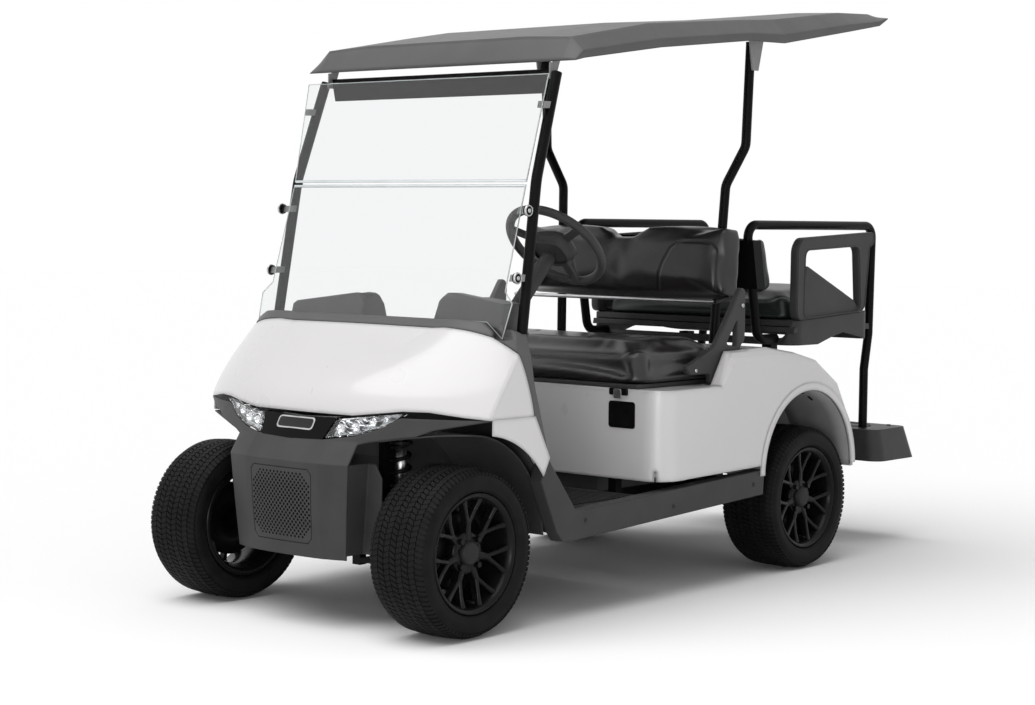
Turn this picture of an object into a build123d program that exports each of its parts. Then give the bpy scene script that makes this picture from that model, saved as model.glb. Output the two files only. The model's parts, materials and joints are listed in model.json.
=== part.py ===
from build123d import *
from math import atan, cos, degrees, radians, sin
import os

# Four-seat (2+2) golf cart. Millimetres. Front faces -Y, the cart's left (driver's) side is +X,
# the ground is Z = 0 and the origin is under the middle of the overall length.

# ---- overall layout ----
wheelbase = 1702
front_axle_y = -1169
rear_axle_y = front_axle_y + wheelbase
body_half = 585
body_wall = 4
gap = 1.0
seat_gap = 0.3

# ---- wheels ----
tyre_radius = 243
tyre_width = 206
wheel_centre_x = 468
rim_flange_radius = 172
rim_bead_radius = 152
rim_width = 186
spoke_count = 7
lug_pcd = 101.6
lug_hole_radius = 7
hub_bore_radius = 16
running_fit = 0.05

# ---- front suspension and steering ----
kingpin_x = 375
kingpin_radius = 10
sleeve_radius = 20
sleeve_height = 70
steer_arm = 95
rack_y = front_axle_y + steer_arm
rack_z = 341
coil_x = 268
wheel_axis_z = tyre_radius

# ---- front body ----
arch_radius = 332
nose_side_x = 246
lamp_depth = 26
rocker_thickness = 45
rocker_outer_x = 578
floor_top_z = 318
floor_plate = 6
mat_thickness = 8

# ---- seating ----
seat_front_y = -322
seat_depth = 470
seat_half = 492
well_half = 532
well_back_y = 200
seat_board = 14
seat_cushion_height = 108
deck_z = 653
backrest_half = 455
rear_seat_half = 425
side_loop_x = 372
side_loop_od = 32
loop_axis_z = 1168
loop_lean = 0.1917
loop_foot = (490.1, 776)

# ---- canopy ----
strut_od = 32
strut_wall = 2.5
roof_half = 555
roof_wall = 6
glass = 5


def bent_tube(points, bend, od, wall=0):
    """Round tube along straight runs joined by tangent arcs."""
    with BuildPart() as tube:
        with BuildLine() as path:
            FilletPolyline(*points, radius=bend)
        with BuildSketch(Plane(origin=path.line @ 0, z_dir=path.line % 0)):
            Circle(od / 2)
            if wall:
                Circle(od / 2 - wall, mode=Mode.SUBTRACT)
        sweep()
    return tube.part


def side_plate(outline, x_low, x_high, corner=0):
    """Flat plate standing in the side view, between two X stations, from (y, z) points."""
    with BuildPart() as plate:
        with BuildSketch(Plane.YZ.offset(x_low)) as outline_sketch:
            with BuildLine():
                Polyline(*outline, close=True)
            make_face()
            if corner:
                fillet(outline_sketch.vertices(), corner)
        extrude(amount=x_high - x_low)
    return plate.part


# ======================= wheels =======================
# Half-section of the tyre as (axial, radial); the tread is a shallow crown between two shoulders.
half = tyre_width / 2
bead = rim_width / 2 - 10.5
bead_seat = rim_bead_radius + gap / 2
flange_top = rim_flange_radius + gap / 2
with BuildPart() as tyre_blank:
    with BuildSketch(Plane.XY) as tyre_section:
        with BuildLine():
            Polyline(
                (-bead, bead_seat), (-bead, flange_top), (-half + 4, flange_top + 8), (-half, 204),
                (-half + 3, tyre_radius - 22), (-half + 10, tyre_radius - 11),
                (-half + 25, tyre_radius - 3),
                (-35, tyre_radius), (35, tyre_radius), (half - 25, tyre_radius - 3),
                (half - 10, tyre_radius - 11),
                (half - 3, tyre_radius - 22), (half, 204), (half - 4, flange_top + 8), (bead, flange_top),
                (bead, bead_seat), (bead - 14, bead_seat), (bead - 12, 200), (half - 34, 228),
                (-half + 34, 228),
                (-bead + 12, 200), (-bead + 14, bead_seat), close=True,
            )
        make_face()
    revolve(axis=Axis.X)

# Openings of one seventh of the face: the wide one between two stems, the small one in a fork.
half_step = 180 / spoke_count
with BuildSketch() as rim_windows:
    with BuildLine():
        Polyline((60, 12), (66, 22), (90, 34), (102, 35), (138, 28), (144, 0), (138, -28), (102, -35),
            (90, -34),
                 (66, -22), (60, -12), close=True)
    make_face()
    with Locations(Rotation(0, 0, half_step)):
        with BuildLine():
            Polyline((104, 0), (139, -22), (143, 0), (139, 22), close=True)
        make_face()

# Rim with its outer face towards +X: barrel, dished spoke face with forked spokes, hub with bore.
rim_half = rim_width / 2
with BuildPart() as rim_blank:
    with BuildSketch(Plane.XY) as barrel_section:
        with BuildLine():
            Polyline(
                (-rim_half, rim_flange_radius), (-rim_half, 150), (-rim_half + 20, 146),
                (-rim_half + 45, 134),
                (rim_half - 85, 134), (rim_half - 50, 147), (rim_half, 152),
                (rim_half, rim_flange_radius),
                (rim_half - 6, rim_flange_radius), (rim_half - 8, 156), (rim_half - 10, rim_bead_radius),
                (rim_half - 48, rim_bead_radius), (rim_half - 83, 139), (-rim_half + 47, 139),
                (-rim_half + 26, rim_bead_radius), (-rim_half + 10, rim_bead_radius),
                (-rim_half + 8, 155),
                (-rim_half + 6, rim_flange_radius),
                close=True,
            )
        make_face()
    revolve(axis=Axis.X)
    face_x = rim_half - 40
    with BuildSketch(Plane.XY):
        with BuildLine():
            Polyline((face_x, 0), (face_x, 149), (rim_half - 10, 149), (rim_half - 16, 140),
                (face_x + 20, 92),
                     (face_x + 14, 58), (face_x + 14, 0), close=True)
        make_face()
    revolve(axis=Axis.X)
    with BuildSketch(Plane.YZ.offset(face_x - 1)):
        with PolarLocations(0, spoke_count):
            add(rim_windows.sketch)
    extrude(amount=50, mode=Mode.SUBTRACT)
    with BuildSketch(Plane.YZ.offset(-20)):
        Circle(64)
    extrude(amount=face_x + 22)
    with BuildSketch(Plane.YZ.offset(-20)):
        Circle(hub_bore_radius)
    extrude(amount=70, mode=Mode.SUBTRACT)
    with BuildSketch(Plane.YZ.offset(face_x)):
        with PolarLocations(lug_pcd / 2, 4, start_angle=45):
            Circle(lug_hole_radius)
    extrude(amount=30, mode=Mode.SUBTRACT)
    with BuildSketch(Plane.YZ.offset(face_x + 2)):
        Circle(34)
    extrude(amount=20, taper=8)

os.makedirs("parts", exist_ok=True)
for name, side, y in (
    ("fl", 1, front_axle_y), ("fr", -1, front_axle_y), ("rl", 1, rear_axle_y), ("rr", -1, rear_axle_y),
):
    place = Location((side * wheel_centre_x, y, wheel_axis_z), (0, 0, 0 if side > 0 else 180))
    tyre = tyre_blank.part.moved(place)
    tyre.label = "tyre_" + name
    export_step(tyre, "parts/tyre_" + name + ".step")
    rim = rim_blank.part.moved(place)
    rim.label = "rim_" + name
    export_step(rim, "parts/rim_" + name + ".step")


# ======================= chassis frame =======================
rail_x = 185
rail_width = 50
rail_height = 60
rail_wall = 3
rail_low_z = 255
rail_high_z = 345
rail_top_z = rail_high_z - 20 + rail_height
arm_pivot_z = 199
coil_top_z = 545
spring_x = 290
spring_reach = 330
spring_eye_z = 320
footrest_top_z = 424
footrest_wall = 4
# Each rail: (y, z of the underside) stations of a pressed box section that kicks up over the rear axle.
rail_line = [
    (-1315, rail_low_z + 60), (-1180, rail_low_z), (130, rail_low_z), (270, rail_high_z - 20),
    (1350, rail_high_z - 20),
]


def rail_profile(inset):
    """Closed side outline of a rail, shrunk by the inset on its upper and lower edges."""
    lower = [(y, z + inset) for y, z in rail_line]
    upper = [(y, z + rail_height - inset) for y, z in reversed(rail_line)]
    return lower + upper


# ======================= floor =======================
toe_top_y = -1018
toe_top_z = 631
toe_foot_y = -800
floor_back_y = seat_front_y - 4
floor_half = rocker_outer_x - rocker_thickness - seat_gap
floor_low_z = rail_low_z + rail_height + seat_gap
with BuildPart() as floor_pan:
    with Locations((0, (toe_foot_y + floor_back_y) / 2, floor_low_z + floor_plate / 2)):
        Box(2 * floor_half, floor_back_y - toe_foot_y, floor_plate)
    with BuildSketch(Plane.YZ.offset(-floor_half)):
        with BuildLine():
            Polyline(
                (toe_foot_y, floor_low_z), (toe_foot_y, floor_low_z + floor_plate), (-868, 445),
                (-874, 441), close=True
            )
        make_face()
    extrude(amount=2 * floor_half)
    with BuildSketch(Plane.YZ.offset(-floor_half)):
        with BuildLine():
            Polyline((-868, 445), (toe_top_y, toe_top_z), (toe_top_y - 6, toe_top_z - 4), (-874, 441),
                close=True)
        make_face()
    extrude(amount=2 * floor_half)
floor_pan.part.label = "floor_pan"
export_step(floor_pan.part, "parts/floor_pan.step")

mat_low_z = floor_low_z + floor_plate
rib_pitch = 24
rib_width = 12
mat_front_y = toe_foot_y + 14
mat_back_y = floor_back_y - 8
rib_rows = int((mat_back_y - mat_front_y - 2 * rib_pitch) / rib_pitch)
with BuildPart() as floor_mat:
    with Locations((0, (mat_front_y + mat_back_y) / 2, mat_low_z + mat_thickness / 4)):
        Box(2 * floor_half - 20, mat_back_y - mat_front_y, mat_thickness / 2)
    with Locations((0, (mat_front_y + mat_back_y) / 2, mat_low_z + mat_thickness / 2)):
        with GridLocations(1, rib_pitch, 1, rib_rows):
            Box(2 * floor_half - 60, rib_width, mat_thickness / 2,
                align=(Align.CENTER, Align.CENTER, Align.MIN))
floor_mat.part.label = "floor_mat"
export_step(floor_mat.part, "parts/floor_mat.step")

# ======================= front body form =======================
# Plan sections of the nose, one per height:
# (z, nose y, front arc end x, front arc end y, corner x, corner y, side x, side start y).
lower_sections = [
    (206, -1378, 150, -1369, 222, -1345, 400, -1230),
    (340, -1390, 150, -1382, 258, -1343, 418, -1223),
    (480, -1396, 150, -1389, 300, -1335, 440, -1215),
    (545, -1352, 150, -1346, 374, -1268, 545, -1165),
    (616, -1313, 180, -1303, 400, -1243, 582, -1135),
]
upper_sections = [
    (616, -1313, 180, -1303, 400, -1243, 582, -1135),
    (705, -1278, 180, -1272, 420, -1200, 584, -1080),
    (790, -1176, 220, -1171, 455, -1110, 570, -1010),
    (872, -1058, 300, -1054, 465, -1030, 535, -965),
]
form_back_y = -700


def nose_loft(sections, inset, back_y, ruled=False):
    """Solid nose through plan sections, shrunk inwards by the inset, with a flat back."""
    with BuildPart() as nose:
        for z, nose_y, x1, y1, x2, y2, x3, y3 in sections:
            with BuildSketch(Plane.XY.offset(z)):
                with BuildLine():
                    ThreePointArc((-x1, y1 + inset), (0, nose_y + inset), (x1, y1 + inset))
                    ThreePointArc((x1, y1 + inset), (x2 - inset * 0.6, y2 + inset * 0.7),
                        (x3 - inset, y3))
                    Polyline((x3 - inset, y3), (x3 - inset, back_y), (-x3 + inset, back_y),
                        (-x3 + inset, y3))
                    ThreePointArc((-x3 + inset, y3), (-x2 + inset * 0.6, y2 + inset * 0.7),
                        (-x1, y1 + inset))
                make_face()
        loft(ruled=ruled)
    return nose.part


def front_view_tool(outline, y_low, y_high):
    """Prism along Y from front-view (x, z) points."""
    with BuildPart() as tool:
        with BuildSketch(Plane.XZ.offset(-y_high)):
            with BuildLine():
                Polyline(*outline, close=True)
            make_face()
        extrude(amount=y_high - y_low)
    return tool.part


bumper_space = nose_loft(lower_sections, body_wall + seat_gap, form_back_y, ruled=True)
cowl_space = nose_loft(upper_sections, body_wall + seat_gap, form_back_y)
upper_outer = nose_loft(upper_sections, 0, form_back_y)
upper_inner = nose_loft(upper_sections, body_wall, form_back_y + 20)
lower_outer = nose_loft(lower_sections, 0, -1130, ruled=True)
lower_inner = nose_loft(lower_sections, body_wall, -1100, ruled=True)
lower_core = nose_loft(lower_sections, lamp_depth, -1080, ruled=True)

with BuildPart() as frame_rails:
    with Locations((rail_x, -1360, rail_low_z + 90), (-rail_x, -1360, rail_low_z + 90)):
        Box(36, 80, 40)
    add(bumper_space, mode=Mode.INTERSECT)
    with Locations((rail_x, -1317, rail_low_z + 90), (-rail_x, -1317, rail_low_z + 90)):
        Box(rail_width, 8, rail_height)
    for side in (1, -1):
        outer_low = side * rail_x - rail_width / 2
        add(side_plate(rail_profile(0), outer_low, outer_low + rail_width))
        hollow = side_plate(rail_profile(rail_wall), outer_low + rail_wall,
            outer_low + rail_width - rail_wall)
        add(hollow, mode=Mode.SUBTRACT)
    for y, z in ((-1255, rail_low_z + 45), (-700, rail_low_z + 4), (-150, rail_low_z + 4),
        (840, rail_high_z - 16)):
        with Locations((0, y, z + 26)):
            Box(2 * rail_x - rail_width, 40, 52)
            Box(2 * rail_x - rail_width, 40 - 2 * rail_wall, 52 - 2 * rail_wall, mode=Mode.SUBTRACT)
    for side in (1, -1):
        for y in (-700, 80):
            with Locations((side * (rail_x + rail_width / 2 + 158), y, rail_low_z + 30)):
                Box(318, 40, 40)
        for y, height in ((front_axle_y - 95, 115), (front_axle_y + 95, 76)):
            with Locations((side * 197, y, arm_pivot_z - 14)):
                Box(30, 26, height, align=(Align.CENTER, Align.CENTER, Align.MIN))
        with Locations((side * 220, front_axle_y, rail_low_z + 40)):
            Box(22, 60, coil_top_z + 12 - rail_low_z - 40, align=(Align.CENTER, Align.CENTER, Align.MIN))
        with Locations((side * 252, front_axle_y, coil_top_z + 0.5)):
            Box(84, 60, 11.5, align=(Align.CENTER, Align.CENTER, Align.MIN))
        for y in (rear_axle_y - spring_reach + 12, rear_axle_y + spring_reach - 12):
            with Locations((side * (rail_x + 65), y, spring_eye_z + 10.5)):
                Box(130, 34, 16, align=(Align.CENTER, Align.CENTER, Align.MIN))
        for y in (1170, 1320):
            with Locations((side * rail_x, y, rail_top_z - 3)):
                Box(rail_width, 40, footrest_top_z - footrest_wall - seat_gap - rail_top_z + 3,
                    align=(Align.CENTER, Align.CENTER, Align.MIN))
        # Posts under the seat deck, a front pair on short outriggers beside the battery, and
        # a pair under the rear seat.
        with Locations((side * rail_x, 120, rail_low_z + rail_height - 3)):
            Box(40, 40, deck_z - body_wall - seat_gap - rail_low_z - rail_height + 3,
                align=(Align.CENTER, Align.CENTER, Align.MIN))
        with Locations((side * 285, -262, rail_low_z + 25)):
            Box(152, 14, 30)
        with Locations((side * 346, -262, rail_low_z + 10)):
            Box(30, 30, deck_z - body_wall - seat_gap - rail_low_z - 10,
                align=(Align.CENTER, Align.CENTER, Align.MIN))
        with Locations((side * rail_x, 850, rail_top_z - 3)):
            Box(40, 40, 769.4 - rail_top_z + 3, align=(Align.CENTER, Align.CENTER, Align.MIN))
frame_rails.part.label = "frame_rails"
export_step(frame_rails.part, "parts/frame_rails.step")

# The cowl ends at the back along a line that falls from the windshield base to the sill.
cowl_rear_line = [(-1034, 842), (-1000, 790), (-975, 704), (-945, 611), (-884, 496)]
cowl_back = [(-1068, 900), (-1068, 864), *cowl_rear_line, (-884, 300), (-500, 300), (-500, 900)]
# Seam between the cowl and the bumper, in the front view.
seam = [(0, 606), (185, 613), (360, 634), (430, 634), (520, 622), (600, 613)]


def arch_cylinder(radius, x_from, x_to, y):
    with BuildPart() as arch:
        with BuildSketch(Plane.YZ.offset(x_from)):
            with Locations((y, wheel_axis_z)):
                Circle(radius)
        extrude(amount=x_to - x_from)
    return arch.part


seam_full = [(-x, z) for x, z in reversed(seam[1:])] + seam
cowl_seam = [(x, z + gap) for x, z in seam_full]
with BuildPart() as front_cowl:
    add(upper_outer)
    add(upper_inner, mode=Mode.SUBTRACT)
    add(front_view_tool([(-700, 400), *cowl_seam, (700, 400)], -1500, -1129), mode=Mode.SUBTRACT)
    add(side_plate(cowl_back, -700, 700), mode=Mode.SUBTRACT)
with BuildPart() as fender_skirts:
    add(side_plate([(-1128, 617), (-943, 617), (-876, 493), (-912, 425), (-1128, 425)], 580, 584))
    add(arch_cylinder(arch_radius, 500, 640, front_axle_y), mode=Mode.SUBTRACT)
    mirror(about=Plane.YZ)
with BuildPart() as front_cowl_full:
    add(front_cowl.part)
    add(fender_skirts.part)
    add(arch_cylinder(arch_radius, 240, 640, front_axle_y), mode=Mode.SUBTRACT)
    add(arch_cylinder(arch_radius, -640, -240, front_axle_y), mode=Mode.SUBTRACT)
front_cowl_full.part.label = "front_cowl"
export_step(front_cowl_full.part, "parts/front_cowl.step")

# Lamp band under the seam: dark centre panel between two clear headlamps.
lamp_tip = (372, 630)
lamp_low = [(0, 541), (128, 545), (230, 560), (310, 588)]
lamp_top = [(0, 616), (150, 621), (185, 624), (360, 646)]
band = [(-x, z) for x, z in lamp_low[:0:-1]] + lamp_low + [lamp_tip] + lamp_top[::-1]
band += [(-x, z) for x, z in lamp_top[1:]] + [(-lamp_tip[0], lamp_tip[1])]
# What is open beside the bumper's nose and under its wing, in the front view.
bumper_side = [
    (215, 100), (226, 236), (245, 480), (262, 500), (300, 517), (389, 560), (445, 584), (585, 614),
    (700, 614),
    (700, 100),
]
with BuildPart() as bumper_fascia:
    add(lower_outer)
    add(lower_inner, mode=Mode.SUBTRACT)
    add(front_view_tool([(-700, 700), *seam_full, (700, 700)], -1500, -1000), mode=Mode.SUBTRACT)
    add(front_view_tool(bumper_side, -1500, -1000), mode=Mode.SUBTRACT)
    add(front_view_tool([(-x, z) for x, z in bumper_side], -1500, -1000), mode=Mode.SUBTRACT)
    add(front_view_tool(band, -1500, -1200), mode=Mode.SUBTRACT)
    add(arch_cylinder(arch_radius, nose_side_x, 700, front_axle_y), mode=Mode.SUBTRACT)
    add(arch_cylinder(arch_radius, -700, -nose_side_x, front_axle_y), mode=Mode.SUBTRACT)
panel_outer = [(-112, 462), (112, 462), (126, 448), (120, 262), (104, 244), (-104, 244), (-120, 262),
    (-126, 448)]
panel_inner = [(-110, 459), (110, 459), (123, 446), (117, 263), (103, 247), (-103, 247), (-117, 263),
    (-123, 446)]
groove_floor = nose_loft(lower_sections, 2, -1130, ruled=True)
with BuildPart() as panel_groove:
    add(front_view_tool(panel_outer, -1450, -1300))
    add(front_view_tool(panel_inner, -1450, -1300), mode=Mode.SUBTRACT)
    add(groove_floor, mode=Mode.SUBTRACT)
with BuildPart() as bumper_fascia_full:
    add(bumper_fascia.part)
    add(panel_groove.part, mode=Mode.SUBTRACT)
bumper_fascia_full.part.label = "bumper_fascia"
export_step(bumper_fascia_full.part, "parts/bumper_fascia.step")

panel_view = [(-127, 546), (0, 542), (127, 546), (149, 608), (0, 603), (-149, 608)]
with BuildPart() as lamp_panel:
    add(lower_outer)
    add(lower_core, mode=Mode.SUBTRACT)
    add(front_view_tool(panel_view, -1500, -1150), mode=Mode.INTERSECT)
lamp_panel.part.label = "lamp_panel"
export_step(lamp_panel.part, "parts/lamp_panel.step")

lamp_view = [(130, 547), (230, 561), (309, 589), (370, 630), (359, 631), (185, 610), (152, 608)]
with BuildPart() as headlamps:
    add(lower_outer)
    add(lower_core, mode=Mode.SUBTRACT)
    add(front_view_tool(lamp_view, -1500, -1150), mode=Mode.INTERSECT)
    mirror(about=Plane.YZ)
headlamps.part.label = "headlamps"
export_step(headlamps.part, "parts/headlamps.step")

# ======================= wheel-well liners =======================
liner_wall = 4
liner_low_x = 245
liner_high_x = 530
with BuildPart() as liner_arches:
    with BuildSketch(Plane.YZ.offset(liner_low_x)):
        with Locations((front_axle_y, wheel_axis_z)):
            Circle(arch_radius)
            Circle(arch_radius - liner_wall, mode=Mode.SUBTRACT)
        with BuildLine():
            Polyline((front_axle_y, wheel_axis_z), (-760, 262), (-760, 800), (-1330, 800), (-1330, 640),
                close=True)
        make_face(mode=Mode.INTERSECT)
    extrude(amount=liner_high_x - liner_low_x)
    add(front_view_tool([(220, 218), (224, 218), (244, 480), (240, 480)], -1370, -1272))
    add(front_view_tool([(220, 218), (296, 218), (296, 440), (270, 480), (240, 480)], -1276, -1272))
with BuildPart() as liner_limit:
    add(bumper_space)
    with Locations((0, -700, 480)):
        Box(1200, 900, 800)
with BuildPart() as front_liners:
    add(liner_arches.part)
    add(liner_limit.part, mode=Mode.INTERSECT)
    mirror(about=Plane.YZ)
front_liners.part.label = "front_liners"
export_step(front_liners.part, "parts/front_liners.step")

# ======================= sills =======================
sill_outline = [
    (-878, 490), (-908, 425), (-834, 270), (-805, 239), (-759, 237), (235, 283), (240, 364),
    (-700, 324), (-752, 330), (-762, 345),
]
rocker_inner_x = rocker_outer_x - rocker_thickness
with BuildPart() as rocker_panels:
    add(side_plate(sill_outline, rocker_inner_x, rocker_outer_x))
    mirror(about=Plane.YZ)
rocker_panels.part.label = "rocker_panels"
export_step(rocker_panels.part, "parts/rocker_panels.step")

# ======================= dashboard =======================
# Section of the cover between the cowl's rear edge and the seats, and the two raised housings on it.
dash_cover = [
    (-1066.8, 866), (-1060, 880), (-1046, 890), (-1004, 878), (-985, 878), (-925, 866), (-868, 850),
    (-880, 800),
    (-925, 790), (-953, 668), (-1000, 668), (-1032.5, 790), (-1032.5, 843.5),
]
housing = [(-983, 860), (-980, 884), (-962, 947), (-950, 962), (-915, 962), (-885, 940), (-868, 850)]
passenger_view = [(-385, 840), (-385, 908), (-370, 918), (-120, 950), (-100, 948), (-80, 915), (-72, 840)]
driver_view = [(215, 840), (228, 935), (250, 960), (280, 960), (480, 934), (480, 840)]
ear = [
    (-1026, 836), (-1012, 832), (-990, 838), (-984, 864), (-955, 850), (-938.7, 850), (-946.8, 800),
    (-946, 704),
    (-912, 611), (-866, 492), (-880, 496), (-940, 611), (-970, 704), (-994, 790),
]
dash_sections = upper_sections[:4] + [(910, -1022, 300, -1018, 455, -996, 515, -940)]
dash_form = nose_loft(dash_sections, 0.5, -860, ruled=True)
with BuildPart() as dash_flange:
    add(side_plate([(-1100, 862), (-1120, 800), (-1032, 790), (-1032, 846), (-1054, 862)], -500, 500))
    add(cowl_space, mode=Mode.INTERSECT)
with BuildPart() as dash_housings:
    add(front_view_tool(passenger_view, -990, -860))
    add(front_view_tool(driver_view, -990, -860))
    add(side_plate(housing, -500, 500), mode=Mode.INTERSECT)
    with Locations((-245, -930, 965), (-140, -930, 965)):
        Box(90, 40, 70, mode=Mode.SUBTRACT)
    with Locations((300, -905, 965)):
        Box(120, 34, 60, mode=Mode.SUBTRACT)
with BuildPart() as dash_ears:
    add(side_plate(ear, 470, 590))
    add(nose_loft([(480, -1300, 180, -1290, 400, -1243, 574, -1135)] + dash_sections, 3, -860,
        ruled=True),
        mode=Mode.INTERSECT)
    mirror(about=Plane.YZ)
with BuildPart() as dash:
    add(side_plate(dash_cover, -492, 492))
    add(dash_form, mode=Mode.INTERSECT)
    for side in (1, -1):
        with Locations((side * 486, -1003, 834)):
            Box(100, 42, 100, align=(Align.CENTER, Align.CENTER, Align.MIN), mode=Mode.SUBTRACT)
        with Locations((side * 515, -938, 760)):
            Box(70, 80, 200, align=(Align.CENTER, Align.CENTER, Align.MIN), mode=Mode.SUBTRACT)
    with Locations((75, -915, 850)):
        Box(230, 70, 60, align=(Align.CENTER, Align.CENTER, Align.MIN), mode=Mode.SUBTRACT)
    add(dash_flange.part)
    add(dash_housings.part)
    add(dash_ears.part)
dash.part.label = "dash"
export_step(dash.part, "parts/dash.step")

# ======================= rear body =======================
rear_form = [
    (seat_front_y, 368), (seat_front_y, deck_z), (-10, deck_z), (60, 760), (290, 765), (450, 742),
    (560, 716), (680, 640), (752, 520), (790, 336), (740, 330), (210, 378),
]
rear_arch_y = 505
rear_arch_z = 345
rear_arch_radius = 268
shoulder_margin = 0.3
# Stations of the rear body's upper side edges: (y, height of the top, radius of the shoulder).
shoulder_stations = [
    (seat_front_y - 10, deck_z, 8), (-10, deck_z, 14), (60, 760, 36), (290, 765, 40), (450, 742, 40),
    (560, 716, 36), (680, 640, 28), (752, 520, 20), (792, 326.3, 12),
]


def rear_shoulders(inset):
    """Form that rounds the upper side edges of the rear body, through stations along the cart."""
    with BuildPart() as shoulders:
        for y, top, radius in shoulder_stations:
            edge = body_half - 3 - inset + shoulder_margin
            high = top - inset + shoulder_margin
            bend = radius - inset + shoulder_margin
            near = bend * (1 - cos(radians(30)))
            far = bend * (1 - sin(radians(30)))
            with BuildSketch(Plane.XZ.offset(-y)):
                with BuildLine():
                    Polyline(
                        (edge, high - bend), (edge, 240), (-edge, 240), (-edge, high - bend),
                        (-edge + near, high - far), (-edge + far, high - near), (-edge + bend, high),
                        (edge - bend, high), (edge - far, high - near), (edge - near, high - far),
                        close=True,
                    )
                make_face()
        loft(ruled=True)
    return shoulders.part


def rear_block(inset):
    with BuildPart() as block:
        with BuildSketch(Plane.YZ.offset(-body_half + 3 + inset)):
            with BuildLine():
                Polyline(*rear_form, close=True)
            make_face()
            if inset:
                offset(amount=-inset, kind=Kind.INTERSECTION)
        extrude(amount=2 * (body_half - 3 - inset))
        front_corners = block.edges().filter_by(Axis.Z).group_by(Axis.Y)[0]
        fillet(front_corners, 80 - inset)
        add(rear_shoulders(inset), mode=Mode.INTERSECT)
    return block.part


with BuildPart() as rear_body:
    add(rear_block(0))
    add(rear_block(body_wall), mode=Mode.SUBTRACT)
    with Locations((0, (seat_front_y - 20 + well_back_y) / 2, deck_z)):
        Box(2 * well_half, well_back_y - seat_front_y + 20, 200,
            align=(Align.CENTER, Align.CENTER, Align.MIN),
            mode=Mode.SUBTRACT)
    for x_from in (-700, 330):
        with BuildSketch(Plane.YZ.offset(x_from)):
            with Locations((rear_arch_y, rear_arch_z)):
                Circle(rear_arch_radius)
            with BuildLine():
                Polyline(
                    (rear_arch_y - rear_arch_radius, 200), (rear_arch_y + rear_arch_radius, 200),
                    (rear_arch_y + rear_arch_radius, rear_arch_z),
                    (rear_arch_y - rear_arch_radius, rear_arch_z),
                    close=True,
                )
            make_face()
        extrude(amount=370, mode=Mode.SUBTRACT)
with BuildPart() as arch_lips:
    with BuildSketch(Plane.YZ.offset(body_half - 5)):
        with Locations((rear_arch_y, rear_arch_z)):
            Circle(rear_arch_radius + 24)
            Circle(rear_arch_radius, mode=Mode.SUBTRACT)
            Rectangle(900, 400, align=(Align.CENTER, Align.MIN), mode=Mode.INTERSECT)
    extrude(amount=5)
    mirror(about=Plane.YZ)
with BuildPart() as seat_deck:
    with Locations((0, (seat_front_y + well_back_y) / 2 + 2, deck_z - 0.01)):
        Box(2 * well_half + 2 * body_wall, well_back_y - seat_front_y - 4, body_wall,
            align=(Align.CENTER, Align.CENTER, Align.MAX))
        Box(760, 300, 3 * body_wall, mode=Mode.SUBTRACT)
    with Locations((0, well_back_y, deck_z - body_wall)):
        Box(2 * well_half + 2 * body_wall, body_wall, 107, align=(Align.CENTER, Align.MIN, Align.MIN))
    for side in (1, -1):
        with Locations((side * well_half, 77, deck_z - body_wall)):
            Box(body_wall, 190, 100, align=(Align.MIN if side > 0 else Align.MAX, Align.CENTER,
                Align.MIN))
    add(rear_block(body_wall / 2), mode=Mode.INTERSECT)
with BuildPart() as rear_body_full:
    add(rear_body.part)
    add(arch_lips.part)
    add(seat_deck.part)
    with Locations((0, 222, 340)):
        Box(2 * body_half - 80, 1070, 122, mode=Mode.SUBTRACT)
    with Locations((0, 760, 340)):
        Box(520, 200, 150, mode=Mode.SUBTRACT)
rear_body_full.part.label = "rear_body"
export_step(rear_body_full.part, "parts/rear_body.step")

# ======================= drive line =======================
battery_size = (600, 330, 250)
battery_y = -130
with BuildPart() as battery_pack:
    with Locations((0, battery_y, rail_low_z + rail_height + seat_gap)):
        Box(*battery_size, align=(Align.CENTER, Align.CENTER, Align.MIN))
battery_pack.part.label = "battery_pack"
export_step(battery_pack.part, "parts/battery_pack.step")

axle_tube_radius = 34
spindle_radius = hub_bore_radius - running_fit
hub_inner_x = wheel_centre_x - 20
with BuildPart() as rear_axle:
    with BuildSketch(Plane.YZ.offset(-hub_inner_x + 12)):
        with Locations((rear_axle_y, wheel_axis_z)):
            Circle(axle_tube_radius)
    extrude(amount=2 * (hub_inner_x - 12))
    with BuildSketch(Plane.YZ.offset(-hub_inner_x - 44)):
        with Locations((rear_axle_y, wheel_axis_z)):
            Circle(spindle_radius)
    extrude(amount=2 * (hub_inner_x + 44))
    with BuildSketch(Plane.YZ.offset(-85)):
        with Locations((rear_axle_y, wheel_axis_z)):
            Circle(95)
    extrude(amount=150)
    with BuildSketch(Plane.YZ.offset(65)):
        with Locations((rear_axle_y + 125, wheel_axis_z + 10)):
            Circle(85)
    extrude(amount=-215)
    for side in (1, -1):
        with Locations((side * (hub_inner_x - 8), rear_axle_y, wheel_axis_z)):
            with Locations(Rotation(0, 90, 0)):
                Cylinder(88, 14)
rear_axle.part.label = "rear_axle"
export_step(rear_axle.part, "parts/rear_axle.step")

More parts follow.
